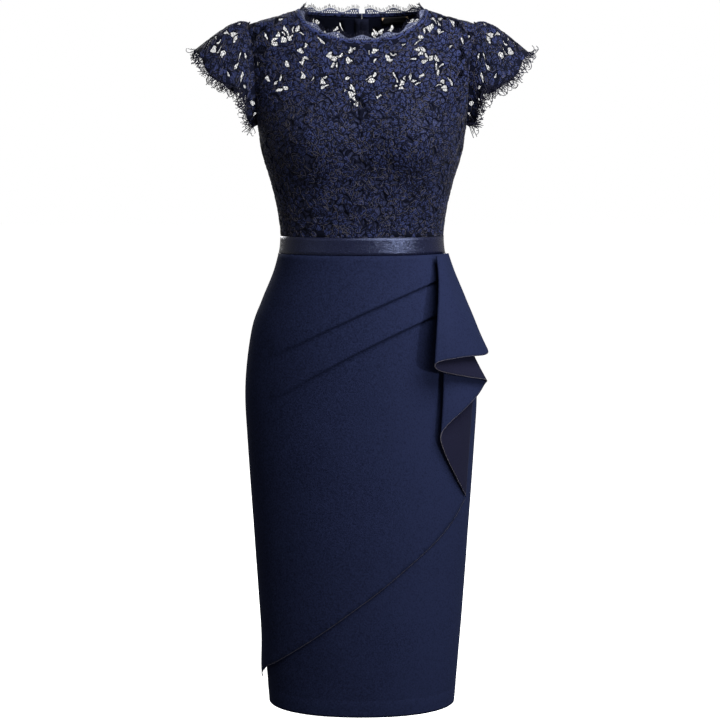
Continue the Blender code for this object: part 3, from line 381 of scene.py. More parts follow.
def cut_flat(outline, cell, holes=(), creases=(), edge_step=None):
    """Fills a flat outline with triangles. Holes stay open and creases become edges."""
    outline = spaced(outline, edge_step or max(cell))
    points, edges = list(outline), [(i, (i + 1) % len(outline)) for i in range(len(outline))]
    grid = lattice(outline, cell)
    for loop in holes:
        grid = grid[~inside(grid, loop)]
        near = np.abs(grid - np.mean(loop, axis=0)).max(axis=1) < HOLE_REACH
        keep = np.ones(len(grid), bool)
        keep[near] = clearance(grid[near], loop)[0] > HOLE_ROOM * min(cell)
        grid = grid[keep]
        first = len(points)
        points += [tuple(p) for p in loop]
        edges += [(first + i, first + (i + 1) % len(loop)) for i in range(len(loop))]
    for line in creases:
        grid = grid[clearance(grid, line, closed=False)[0] > CREASE_ROOM * min(cell)]
        first = len(points)
        points += [tuple(p) for p in line]
        edges += [(first + i, first + i + 1) for i in range(len(line) - 1)]
    points += [tuple(p) for p in grid]
    made = delaunay_2d_cdt([Vector(p) for p in points], edges, [], 0, MERGE)
    flat = np.array([tuple(v) for v in made[0]])
    faces = np.array([f for f in made[2] if len(f) == 3])
    corners = flat[faces]
    middles = corners.mean(axis=1)
    kept = inside(middles, outline)
    kept &= np.abs(np.linalg.det(corners[:, 1:] - corners[:, :1])) > SLIVER
    for loop in holes:
        near = np.abs(middles - np.mean(loop, axis=0)).max(axis=1) < HOLE_REACH
        kept[near] &= ~inside(middles[near], loop)
    used, index = np.unique(faces[kept], return_inverse=True)
    return flat[used], index.reshape(-1, 3)


def grid_faces(rows, columns):
    """The faces of a grid of points that is stored row by row."""
    return [
        (i * columns + j, i * columns + j + 1, (i + 1) * columns + j + 1, (i + 1) * columns + j)
        for i in range(rows - 1)
        for j in range(columns - 1)
    ]


def thicken(piece, wall, grows=1.0, reverse=0, rim=0):
    """Gives cloth its wall. reverse and rim pick the materials of its back and its cut edge."""
    solidify = piece.modifiers.new("wall", "SOLIDIFY")
    solidify.thickness = wall
    solidify.offset = grows
    solidify.material_offset = reverse
    solidify.material_offset_rim = rim


def cut_cloth(name, outline, place, wall, cell, materials, holes=(), creases=(), edge_step=None, flip=False):
    """A panel of cloth: cut flat, laid in place and given its wall."""
    flat, faces = cut_flat(outline, cell, holes, creases, edge_step)
    if flip:
        faces = faces[:, ::-1]
    piece = mesh_object(name, place(flat[:, 0], flat[:, 1]), faces, materials, uv=flat)
    thicken(piece, wall)
    print(f"{name}: {len(faces)} cells")
    return piece


def on_figure(half, out):
    """A placing function for a layer that lies the distance out from the figure."""
    return lambda u, z: FIGURE.at(u, z, half, out)


# %% [markdown]
# ## Saying what each piece is
#
# Every piece rides on the dress and stands for the CAD nodes that it covers, which are hidden.


def wear(piece, nodes):
    """The piece rides on the dress and stands for these CAD nodes, which it hides."""
    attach(piece, "dress")
    if nodes:
        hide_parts(*nodes)
    return piece


# %% [markdown]
# ## Cloth finishes
#
# Each finish is a Principled shader with a few texture nodes. Crepe is matt, with a fine pebbled
# grain from highly twisted yarn, so its nodes mottle two close navies and bump the surface at under
# a millimetre. The grain reads the UV map where it has to follow the cloth and object coordinates
# where it has no direction. Numbers that are the same all over are set on the shader's own sockets.

# %% Helpers for finishes
def new_finish(name, sockets):
    """A material, its node tree and its shader, with the shader's fixed sockets set."""
    material = bpy.data.materials.new(name)
    material.use_nodes = True
    tree = material.node_tree
    shader = tree.nodes["Principled BSDF"]
    for socket, value in sockets.items():
        shader.inputs[socket].default_value = value
    return material, tree, shader


def add(tree, kind, values=None, links=None, **settings):
    """A node with its settings, its inputs' values and the outputs that feed them."""
    node = tree.nodes.new(kind)
    for name, value in settings.items():
        setattr(node, name, value)
    for socket, value in (values or {}).items():
        node.inputs[socket].default_value = value
    for socket, output in (links or {}).items():
        tree.links.new(output, node.inputs[socket])
    return node


def reckon(tree, operation, *terms):
    """One step of arithmetic. Each term is a number or another node's output."""
    numbers = {i: term for i, term in enumerate(terms) if isinstance(term, (int, float))}
    outputs = {i: term for i, term in enumerate(terms) if i not in numbers}
    return add(tree, "ShaderNodeMath", numbers, outputs, operation=operation).outputs[0]


def object_place(tree):
    """Where a point lies on the dress, in metres."""
    return add(tree, "ShaderNodeTexCoord").outputs["Object"]


def cloth_place(tree):
    """Where a point lies on its own flat cloth, in metres."""
    return add(tree, "ShaderNodeUVMap", uv_map="cloth").outputs["UV"]


def mixed(tree, share, first, second):
    """A colour between two, where each is a colour or another node's output."""
    node = tree.nodes.new("ShaderNodeMix")
    node.data_type = "RGBA"
    tree.links.new(share, node.inputs["Factor"])
    for socket, colour in ((node.inputs[6], first), (node.inputs[7], second)):
        if isinstance(colour, tuple):
            socket.default_value = (*colour, 1.0)
        else:
            tree.links.new(colour, socket)
    return node.outputs[2]


def noise(tree, where, scale, detail=2.0, roughness=0.5):
    """Grain of about one over scale metres."""
    values = {"Scale": scale, "Detail": detail, "Roughness": roughness}
    return add(tree, "ShaderNodeTexNoise", values, {"Vector": where}).outputs["Fac"]


def ramp(tree, value, low, high):
    """Nought below low, one above high, and even between."""
    node = add(tree, "ShaderNodeMapRange", {"From Min": low, "From Max": high}, {"Value": value})
    return node.outputs["Result"]


def bump(tree, shader, height, distance, strength=1.0):
    node = add(tree, "ShaderNodeBump", {"Strength": strength, "Distance": distance}, {"Height": height})
    tree.links.new(node.outputs["Normal"], shader.inputs["Normal"])


# %% Crepe, lining and satin
CREPE_NAVY = ((0.0013, 0.0019, 0.0066), (0.0078, 0.0107, 0.0298))
CREPE_REVERSE = ((0.0036, 0.0038, 0.0094), (0.0080, 0.0083, 0.0195))
LINING_NAVY = ((0.0180, 0.0220, 0.0560), (0.0260, 0.0310, 0.0720))
# painted shade: the ribbon's rim is a darker navy than its face, so its lit edge reads dark
SATIN_RIM_NAVY_SHADED = ((0.0008, 0.0009, 0.0022), (0.0020, 0.0022, 0.0050))
SATIN_NAVY = ((0.0024, 0.0029, 0.0085), (0.0064, 0.0073, 0.0200))
DRIFT = 14.0  # changes of shade per metre
DRIFT_SHARE = 0.35
LIT_SIDE = (-0.10, 0.09)  # painted light: from here to here, across the dress, the cloth is painted lighter towards the key lamp's side


def grained_cloth(name, navies, grain, relief, sockets, painted_light=0.0):
    """Plain cloth: two close colours mottled at the size of its yarn, over a slow drift of shade.

    The last argument paints it lighter towards the side of the cascade, where the key lamp is: this is painted light.
    """
    material, tree, shader = new_finish(name, sockets)
    where = object_place(tree)
    fine = noise(tree, where, grain, 3.0, 0.65)
    broad = noise(tree, where, DRIFT, 2.0)
    share = reckon(tree, "MULTIPLY", broad, DRIFT_SHARE)
    share = reckon(tree, "ADD", ramp(tree, fine, 0.32, 0.68), share)
    # painted light: a share that grows from the wearer's right to her left, the key lamp's side
    side = ramp(tree, add(tree, "ShaderNodeSeparateXYZ", {}, {0: where}).outputs["X"], *LIT_SIDE)
    share = reckon(tree, "MULTIPLY_ADD", side, painted_light, ramp(tree, share, 0.0, 1.3))
    tree.links.new(mixed(tree, share, *navies), shader.inputs["Base Color"])
    bump(tree, shader, fine, relief, 0.6)
    return material


MATT = {"Roughness": 0.82, "Specular IOR Level": 0.02, "Sheen Weight": 0.02, "Sheen Roughness": 0.45}
BLUE_SHEEN = {**MATT, "Sheen Tint": (0.30, 0.42, 0.85, 1.0)}
PALE_SHEEN = {**MATT, "Sheen Tint": (0.45, 0.5, 0.8, 1.0)}
KNIT = {**MATT, "Roughness": 0.6, "Specular IOR Level": 0.04}
DULL = {**MATT, "Specular IOR Level": 0.0, "Sheen Weight": 0.0}
# the crepe is painted lighter towards the cascade's side, as painted light from the key lamp
CREPE = grained_cloth("crepe", CREPE_NAVY, 430.0, 0.0005, BLUE_SHEEN, 0.42)
CREPE_BACK = grained_cloth("crepe_reverse", CREPE_REVERSE, 900.0, 0.0002, PALE_SHEEN)
LINING = grained_cloth("lining_knit", LINING_NAVY, 1100.0, 0.0002, KNIT)
SATIN_RIM_SHADED = grained_cloth("satin_rim_painted_shade", SATIN_RIM_NAVY_SHADED, 900.0, 0.0001, DULL)


SATIN_GLOSS = {
    "Roughness": 0.34,
    "Specular IOR Level": 0.36,
    "Specular Tint": (0.50, 0.60, 1.0, 1.0),
    "Anisotropic": 0.35,
}
SATIN_ROUGHNESS = {"To Min": 0.13, "To Max": 0.32}
FLOATS = (120.0, 1500.0, 1.0)  # floats of yarn per metre, along the ribbon and across it


def satin(name, navies):
    """Satin: long floats of smooth yarn along the ribbon, so its streaks and gloss run one way."""
    material, tree, shader = new_finish(name, SATIN_GLOSS)
    flat = cloth_place(tree)
    long = add(tree, "ShaderNodeMapping", {"Scale": FLOATS}, {"Vector": flat}).outputs["Vector"]
    streak = noise(tree, long, 1.0, 3.0, 0.6)
    mottle = noise(tree, object_place(tree), 420.0, 3.0, 0.7)
    tree.links.new(mixed(tree, ramp(tree, streak, 0.3, 0.7), *navies), shader.inputs["Base Color"])
    values = {"From Min": 0.3, "From Max": 0.7, **SATIN_ROUGHNESS}
    gloss = add(tree, "ShaderNodeMapRange", values, {"Value": mottle})
    tree.links.new(gloss.outputs["Result"], shader.inputs["Roughness"])
    both = reckon(tree, "ADD", streak, mottle)
    bump(tree, shader, both, 0.0004, 0.7)
    return material


SATIN = satin("satin_ribbon", SATIN_NAVY)
print("finishes:", CREPE.name, CREPE_BACK.name, LINING.name, SATIN.name, SATIN_RIM_SHADED.name)

# %% [markdown]
# ## Lining
#
# A plain knit lining ends in a sweetheart edge at the front and straight across the back. It backs
# the lace, so its lighter blue shows through the net. Front and back panels meet at the side seams.

# %% Lines that the bodice is cut along
LINING_WALL = 0.0010
LACE_OUT = 0.0021
CREPE_WALL = 0.0012
WAIST_SEAM = -0.3395
RIBBON_TOP = -0.3268
RIBBON_FOOT = -0.3525
HEM = -1.039
NECK_HALF_WIDTH = 0.0946
NECK_RIDGE = -0.003
NECK_DROP = {FRONT: 0.0527, BACK: 0.001}
UNDERARM = -0.172
SHOULDER_TIP = -0.0235
ARMHOLE_REACH = {FRONT: 0.038, BACK: 0.034}
SWEETHEART_TOP = -0.118
SWEETHEART_DIP = 0.028
SWEETHEART_DIP_WIDTH = 0.027
BACK_LINING_TOP = -0.150
LINING_END = 0.135  # how far from the centre the front's lining meets the armhole
PLAIN_CELL = (0.009, 0.009)


def neck_point(share, side):
    """(u, z, half) of the neckline at a share of the half turn: 0 in front, 1 behind."""
    half = FRONT if share <= 0.5 else BACK
    z = NECK_RIDGE - NECK_DROP[half] * abs(math.cos(math.pi * share))
    u = FIGURE.u_at(NECK_HALF_WIDTH * math.sin(math.pi * share), z, half)
    return (side if half == FRONT else -side) * u, z, half


def yoke_top(half, count=23):
    """The lace's upper edge, at the foot of the binding, from shoulder to shoulder."""
    points = []
    for turn in np.linspace(-0.5, 0.5, count):
        share = abs(turn) if half == FRONT else 1 - abs(turn)
        u, z, _ = neck_point(float(share), 1.0)
        points.append((math.copysign(u, turn), z))
    return points


def armhole(half, low, high=SHOULDER_TIP, count=24):
    """The armhole's edge on the left half of a panel, from height low up to high."""
    points = []
    span = SHOULDER_TIP - UNDERARM
    first, last = (math.asin(math.sqrt(max(0.0, min(1.0, (z - UNDERARM) / span)))) for z in (low, high))
    for angle in np.linspace(first, last, count):
        z = UNDERARM + span * math.sin(angle) ** 2
        points.append((float(FIGURE.to_side(z, half)) - ARMHOLE_REACH[half] * math.sin(2 * angle), z))
    return points


def sweetheart(u):
    dip = SWEETHEART_DIP * math.exp(-((u / SWEETHEART_DIP_WIDTH) ** 2))
    return SWEETHEART_TOP - dip - 0.004 * (u / 0.14) ** 2


def lining_top(half, count=31):
    """The lining's upper edge from the centre line to the left armhole."""
    end_z = sweetheart(LINING_END) if half == FRONT else BACK_LINING_TOP
    end_u = armhole(half, end_z, count=1)[0][0]
    us = [float(u) for u in np.linspace(0.0, end_u, count)]
    edge = [(u, sweetheart(u) if half == FRONT else BACK_LINING_TOP) for u in us[:-1]]
    return edge + [(end_u, end_z)]


def side_edge(half, low, high, count=24):
    """The side seam of a left-hand panel, from low to high."""
    return [(float(FIGURE.to_side(z, half)) - SEAM / 2, float(z)) for z in np.linspace(low, high, count)]


def whole(half_outline):
    """A front panel's outline from its left half, which runs up from the foot to the centre line."""
    return half_outline[:-1] + [(-u, z) for u, z in reversed(half_outline)]


def split_at_back(half_outline):
    """A centre-back panel for each side, with half a seam to the centre line."""
    start = [(SEAM / 2 + max(0.0, u - SEAM / 2), z) for u, z in half_outline]
    return {LEFT: [(-u, z) for u, z in reversed(start)], RIGHT: start}


# %% Lining
def lining_half(half):
    """Side seam, armhole and top of the lining's left half."""
    top = lining_top(half)
    side = side_edge(half, WAIST_SEAM + SEAM / 2, UNDERARM)
    return side + armhole(half, UNDERARM, top[-1][1])[1:-1] + top[::-1]


def sew_lining():
    back = split_at_back([(SEAM / 2, WAIST_SEAM + SEAM / 2)] + lining_half(BACK))
    for name, half, outline in (
        ("lining_front", FRONT, whole(lining_half(FRONT))),
        ("lining_back_left", BACK, back[LEFT]),
        ("lining_back_right", BACK, back[RIGHT]),
    ):
        piece = cut_cloth(name + "_cloth", outline, on_figure(half, 0.0), LINING_WALL, PLAIN_CELL, [LINING])
        wear(piece, [name])


sew_lining()

# %% [markdown]
# ## Satin ribbon
#
# One length of satin ribbon goes round the waist seam from one side of the zip to the other. It is
# laid over the seam, a little proud of the lace. Its edges have a dull finish of their own, painted a
# darker navy as painted shade, because satin's gloss on an edge that is a millimetre high would draw
# a pale line round the waist.

# %% Satin ribbon
RIBBON_OUT = 0.0024
SATIN_WALL = 0.0012
RIBBON_MARKS = 181
RIBBON_ROWS = 6


def lay_ribbon():
    spans = {half: float(FIGURE.to_side(WAIST_SEAM, half)) for half in (FRONT, BACK)}

    def place(w, z):
        """w is nought at the centre front and grows round the left side to the centre back."""
        share = np.clip((np.abs(w) - spans[FRONT]) / spans[BACK], 0, 1)
        ahead = FIGURE.at(w / spans[FRONT] * FIGURE.to_side(z, FRONT), z, FRONT, RIBBON_OUT)
        behind = FIGURE.at(-np.sign(w) * FIGURE.to_side(z, BACK) * (1 - share), z, BACK, RIBBON_OUT)
        return np.where((share > 0)[:, None], behind, ahead)

    reach = spans[FRONT] + spans[BACK] - SEAM / 2
    ws = np.linspace(-reach, reach, RIBBON_MARKS)
    rows = RIBBON_FOOT + (RIBBON_TOP - RIBBON_FOOT) * np.linspace(0.0, 1.0, RIBBON_ROWS)
    flat = np.stack(np.meshgrid(ws, rows), axis=-1).reshape(-1, 2)
    faces = grid_faces(len(rows), len(ws))
    piece = mesh_object("satin_ribbon", place(flat[:, 0], flat[:, 1]), faces, [SATIN, SATIN_RIM_SHADED], uv=flat)
    thicken(piece, SATIN_WALL, rim=1)
    wear(piece, ["waist_ribbon"])


lay_ribbon()

# %% [markdown]
# ## Straight underskirt
#
# The skirt under the wrap is a plain tube of crepe with side seams and a turned-up hem. The hem is
# blind stitched, and the turned-up layer prints through as a faint step, so the step is modelled.

# %% Straight underskirt
HEM_DEPTH = 0.026
HEM_PRINT = 0.00035
HEM_STEP, HEM_DENT = 0.0012, 0.0016  # half the heights of the print's step and of its dent
HEM_LINES = (-0.0015, 0.0, 0.0015)
HEM_REACH = 0.155


def place_skirt(half):
    def place(u, z):
        """Below the hem's stitching the cloth is double, so it stands slightly proud."""
        above = z - (HEM + HEM_DEPTH)
        step = HEM_PRINT * (0.5 - 0.5 * np.tanh(above / HEM_STEP))
        return FIGURE.at(u, z, half, step - HEM_PRINT * np.exp(-((above / HEM_DENT) ** 2)))

    return place


def sew_skirt():
    top = WAIST_SEAM - SEAM / 2
    side = {half: side_edge(half, HEM, top, count=90) for half in (FRONT, BACK)}
    back = split_at_back([(SEAM / 2, HEM)] + side[BACK] + [(SEAM / 2, top)])
    stitched = [
        [(u, HEM + HEM_DEPTH + rise) for u in np.linspace(-HEM_REACH, HEM_REACH, 60)] for rise in HEM_LINES
    ]
    for name, half, outline in (
        ("skirt_front", FRONT, side[FRONT] + [(-u, z) for u, z in reversed(side[FRONT])]),
        ("skirt_back_left", BACK, back[LEFT]),
        ("skirt_back_right", BACK, back[RIGHT]),
    ):
        creases = [[p for p in line if inside([p], outline)[0]] for line in stitched]
        place = place_skirt(half)
        piece = cut_cloth(name + "_cloth", outline, place, CREPE_WALL, PLAIN_CELL, [CREPE], creases=creases)
        wear(piece, [name])


sew_skirt()

# %% [markdown]
# ## Wrap
#
# A second layer of crepe covers the front from the right side seam to the left hip. Two tucks start
# in its left edge and die away towards the right hip, and its lower edge climbs from the right hem
# to the cascade. Cloth simulation could find the tucks, but they are sewn, so their lines are known:
# each is a parabola with a sharp fold below and a soft roll above, and the panel is lifted by them.

# %% Wrap
WRAP_OUT = 0.0028
WRAP_HEM = (
    # station, x, height
    ("right_corner", -0.1475, -1.005),
    ("corner_rise", -0.1375, -0.975),
    ("right_thigh", -0.1056, -0.946),
    ("inner_right", -0.0529, -0.904),
    ("centre_right", -0.0152, -0.874),
    ("centre_left", 0.0219, -0.845),
    ("inner_left", 0.0641, -0.809),
    ("left_thigh", 0.1070, -0.771),
    ("turn", 0.1310, -0.744),
    ("tip", 0.1490, -0.716),
)
TUCKS = (
    # tuck, left_x, left_height, middle_x, middle_height, right_x, right_height, rise
    ("upper_tuck", 0.108, -0.388, -0.015, -0.440, -0.132, -0.498, 0.0050),
    ("lower_tuck", 0.105, -0.437, -0.015, -0.492, -0.130, -0.561, 0.0050),
)
TUCK_SOFT_SIDE = 0.028
TUCK_CLIFF = 0.0024
TUCK_SPREAD = 0.005  # the sharp side widens by this as a tuck dies away
TUCK_CREST = 0.62
TUCK_FADE = 0.012
TUCK_MARKS = (-0.9, -0.3, 0.0, 0.25, 0.5, 0.75, 1.0)  # creases across a tuck, in depths of its sharp side
WRAP_CELL = (0.008, 0.008)
LOOSE_RISE, LOOSE_HEIGHT, LOOSE_SPAN, LOOSE_X = 0.006, -1.000, 0.05, 0.14  # the wrap's free corner
CORNER_ROOM = 0.004  # seam points this near a corner are left out
CASCADE = (
    # line, root walk, height, off, middle walk, height, off, edge walk, height, off
    ("wrap_fold", 0.186, -0.405, 0.0064, 0.174, -0.568, 0.0064, 0.164, -0.710, 0.0062),
    ("back_sweep", 0.152, -0.403, 0.0066, 0.148, -0.560, 0.0092, 0.141, -0.679, 0.0100),
    ("left_fold", 0.121, -0.400, 0.0064, 0.118, -0.528, 0.0120, 0.116, -0.633, 0.0126),
    ("left_turn", 0.118, -0.390, 0.0096, 0.115, -0.516, 0.0165, 0.110, -0.603, 0.0187),
    ("rising_sweep", 0.127, -0.382, 0.0084, 0.130, -0.482, 0.0165, 0.142, -0.571, 0.0247),
    ("right_fold", 0.137, -0.374, 0.0080, 0.147, -0.464, 0.0130, 0.180, -0.546, 0.0210),
    ("right_turn", 0.134, -0.367, 0.0108, 0.141, -0.456, 0.0185, 0.176, -0.537, 0.0290),
    ("falling_sweep", 0.120, -0.361, 0.0116, 0.121, -0.445, 0.0245, 0.134, -0.526, 0.0343),
    ("loop", 0.108, -0.359, 0.0120, 0.099, -0.440, 0.0315, 0.096, -0.514, 0.0383),
    ("loop_turn", 0.106, -0.356, 0.0145, 0.095, -0.433, 0.0380, 0.092, -0.502, 0.0457),
    ("front_sweep", 0.113, -0.3545, 0.0150, 0.112, -0.426, 0.0370, 0.125, -0.498, 0.0447),
    ("tip_fold", 0.126, -0.354, 0.0140, 0.134, -0.428, 0.0275, 0.179, -0.498, 0.0310),
    ("side_return", 0.158, -0.354, 0.0070, 0.176, -0.416, 0.0088, 0.190, -0.466, 0.0088),
)


def tuck_line(tuck, x):
    """Height of a tuck's fold at x: a parabola through its three points."""
    _, x1, z1, x2, z2, x3, z3, _ = tuck
    first = z1 * (x - x2) * (x - x3) / ((x1 - x2) * (x1 - x3))
    second = z2 * (x - x1) * (x - x3) / ((x2 - x1) * (x2 - x3))
    third = z3 * (x - x1) * (x - x2) / ((x3 - x1) * (x3 - x2))
    return first + second + third


def tuck_drop(tuck, x):
    """How far below its fold line a tuck's sharp side ends."""
    along = np.clip((x - tuck[5]) / (tuck[1] - tuck[5]), 0, 1)
    return TUCK_CLIFF + TUCK_SPREAD * (1 - along) ** 2


def tuck_rise(x, z):
    """How far the tucks lift the wrap: a sharp fold on the left, a soft roll on the right."""
    lifted = np.zeros(np.shape(x))
    for tuck in TUCKS:
        above = z - tuck_line(tuck, x)
        along = np.clip((x - tuck[5]) / (tuck[1] - tuck[5]), 0, 1)
        strength = np.sin(TUCK_CREST * np.pi * along**0.5) * np.clip((tuck[1] + TUCK_FADE - x) / TUCK_FADE, 0, 1)
        soft = np.exp(-((above / TUCK_SOFT_SIDE) ** 2))
        sharp = np.clip(1 + above / tuck_drop(tuck, x), 0, 1)
        sharp = sharp * sharp * (3 - 2 * sharp)
        lifted += tuck[7] * strength * np.where(above >= 0, soft, sharp)
    return lifted


def place_wrap(u, z):
    """The wrap lies over the underskirt, lifted by its tucks and loose at its right corner."""
    flat = FIGURE.bare(u, z, FRONT)
    loose = LOOSE_RISE * np.exp(-((z - LOOSE_HEIGHT) / LOOSE_SPAN) ** 2) * np.clip(-flat[..., 0] / LOOSE_X, 0, 1) ** 6
    return FIGURE.at(u, z, FRONT, WRAP_OUT + tuck_rise(flat[..., 0], z) + loose)


def bent(start, middle, end, share):
    """A point of the parabola through three points."""
    control = 2 * middle - 0.5 * (start + end)
    return (1 - share) ** 2 * start + 2 * share * (1 - share) * control + share**2 * end


def wrap_fold(count=19):
    """The line where the wrap's cloth turns into the cascade, from its tip up to the side seam."""
    row = CASCADE[0]
    corners = [np.array(row[7:9]), np.array(row[4:6]), np.array(row[1:3])]
    return [tuple(bent(*corners, share)) for share in np.linspace(0, 1, count)]


def wrap_edge():
    """The wrap's free lower edge, as (u, z) from the right side seam to the cascade."""
    first = (-float(FIGURE.to_side(WRAP_HEM[0][2], FRONT)) + SEAM / 2, WRAP_HEM[0][2])
    return [first] + [(FIGURE.u_at(x, z), z) for x, z in through([row[1:] for row in WRAP_HEM[1:]], 8)]


def sew_wrap():
    top = RIBBON_FOOT - 2 * SEAM
    seam = [p for p in side_edge(FRONT, HEM, WAIST_SEAM, count=90) if p[1] < top - CORNER_ROOM]
    seam += side_edge(FRONT, top, top, count=1)
    right = [(-u, z) for u, z in seam if z > WRAP_HEM[0][2] + CORNER_ROOM]
    fold = [(u - SEAM, z) for u, z in wrap_fold()]
    left = [(u, z) for u, z in seam if z > fold[-1][1] + CORNER_ROOM / 2]
    outline = wrap_edge() + fold + left + right[::-1]
    creases = []
    for tuck in TUCKS:
        xs = np.linspace(tuck[1] + TUCK_FADE, tuck[5], 64)
        for drop in TUCK_MARKS:
            lines = [(x, tuck_line(tuck, x) - drop * tuck_drop(tuck, x)) for x in xs]
            creases.append([(FIGURE.u_at(x, z), z) for x, z in lines])
    piece = cut_cloth("wrap", outline, place_wrap, CREPE_WALL, WRAP_CELL, [CREPE], creases=creases)
    wear(piece, ["skirt_wrap"])


sew_wrap()

# %% [markdown]
# ## Cascade
#
# Below the left of the waist the wrap's free edge folds to and fro and falls in a cascade. Its fold
# lines fan out from the waist, so the cloth is a ruled fan: thirteen lines, each a parabola from
# root to free edge, with a smooth curve drawn through them. Where the fan turns back, the reverse of
# the cloth faces out, so the wall has one finish for each side.

# %% Cascade
CASCADE_STEPS = 12
CASCADE_ROWS = 44
CASCADE_LINES = through([row[1:] for row in CASCADE], CASCADE_STEPS).reshape(-1, 3, 3)


def place_cascade(line, share):
    """A point of the fan: line counts from the wrap's fold, share runs from root to free edge."""
    index = np.arange(len(CASCADE_LINES))
    root, middle, edge = (
        np.stack([np.interp(line, index, CASCADE_LINES[:, k, i]) for i in range(3)], axis=-1) for k in range(3)
    )
    u, z, out = bent(root, middle, edge, np.asarray(share)[..., None]).T
    return FIGURE.at(u, z, FRONT, out)


def hang_cascade():
    lines, rows = len(CASCADE_LINES), CASCADE_ROWS + 1
    line, share = np.meshgrid(np.arange(lines, dtype=float), np.linspace(0.0, 1.0, rows))
    points = place_cascade(line.ravel(), share.ravel())
    grid = points.reshape(rows, lines, 3)
    across = np.linalg.norm(np.diff(grid, axis=1), axis=2)
    down = np.linalg.norm(np.diff(grid, axis=0), axis=2)
    walk = np.hstack([np.zeros((rows, 1)), np.cumsum(across, axis=1)])
    fall = np.vstack([np.zeros((1, lines)), np.cumsum(down, axis=0)])
    faces = [(a, d, c, b) for a, b, c, d in grid_faces(rows, lines)]
    uv = np.stack([walk.ravel(), -fall.ravel()], axis=-1)
    piece = mesh_object("cascade_cloth", points, faces, [CREPE, CREPE_BACK], uv=uv)
    thicken(piece, CREPE_WALL, grows=0.0, reverse=1)
    wear(piece, ["cascade"])


hang_cascade()

# %% [markdown]
# ## Threads, lashes and stitches
#
# Net, cords, fringe and sewing are threads that follow lines or stand at even marks, so Geometry
# Nodes make them. Three small trees are enough. The first turns every edge of a guide mesh into a
# round thread. The second stands a lash on every point of a guide, curled one of three ways and
# turned at random. The third lays a stitch at an even pitch along a line. Each tree is run on its
# guide once and the result is kept as a plain mesh.

# %% Node trees for threads, lashes and stitches
def start_tree(name, inputs):
    """A node tree with a guide, these named inputs and a material going in."""
    tree = bpy.data.node_groups.new(name, "GeometryNodeTree")
    tree.interface.new_socket("Guide", in_out="INPUT", socket_type="NodeSocketGeometry")
    for label, kind in (*inputs, ("Material", "NodeSocketMaterial")):
        tree.interface.new_socket(label, in_out="INPUT", socket_type=kind)
    tree.interface.new_socket("Goods", in_out="OUTPUT", socket_type="NodeSocketGeometry")
    return tree, tree.nodes.new("NodeGroupInput").outputs


def end_tree(tree, given, goods):
    """Every tree ends by making its instances real and giving them their material."""
    real = add(tree, "GeometryNodeRealizeInstances", links={"Geometry": goods}).outputs[0]
    smooth = add(tree, "GeometryNodeSetShadeSmooth", links={"Geometry": real}).outputs[0]
    painted = add(tree, "GeometryNodeSetMaterial", links={"Geometry": smooth, "Material": given["Material"]})
    out = tree.nodes.new("NodeGroupOutput")
    tree.links.new(painted.outputs[0], out.inputs[0])
    return tree


def tube_along(tree, curve, given):
    """A closed round tube along a curve, with the tree's own radius and number of sides."""
    links = {"Resolution": given["Sides"], "Radius": given["Radius"]}
    ring = add(tree, "GeometryNodeCurvePrimitiveCircle", links=links)
    links = {"Curve": curve, "Profile Curve": ring.outputs[0]}
    return add(tree, "GeometryNodeCurveToMesh", {"Fill Caps": True}, links).outputs[0]


def thread_tree():
    tree, given = start_tree("threads_along_edges", (("Radius", "NodeSocketFloat"), ("Sides", "NodeSocketInt")))
    curve = add(tree, "GeometryNodeMeshToCurve", links={"Mesh": given["Guide"]}).outputs[0]
    return end_tree(tree, given, tube_along(tree, curve, given))


LASH_BENDS = (
    # start, handle out, handle in, end of a lash one unit long
    ((0.0, 0.0, 0.0), (0.05, 0.0, 0.5), (0.30, 0.0, 0.75), (0.42, 0.0, 1.0)),
    ((0.0, 0.0, 0.0), (-0.10, 0.0, 0.7), (0.55, 0.0, 1.25), (0.62, 0.0, 0.55)),
    ((0.0, 0.0, 0.0), (0.10, 0.0, 0.4), (-0.35, 0.0, 0.8), (-0.20, 0.0, 1.05)),
)
LASH_STEPS = 6
LASH_DRAW = 5
LASH_LENGTHS = (0.7, 1.2)  # the least and the most, as shares of the length asked for


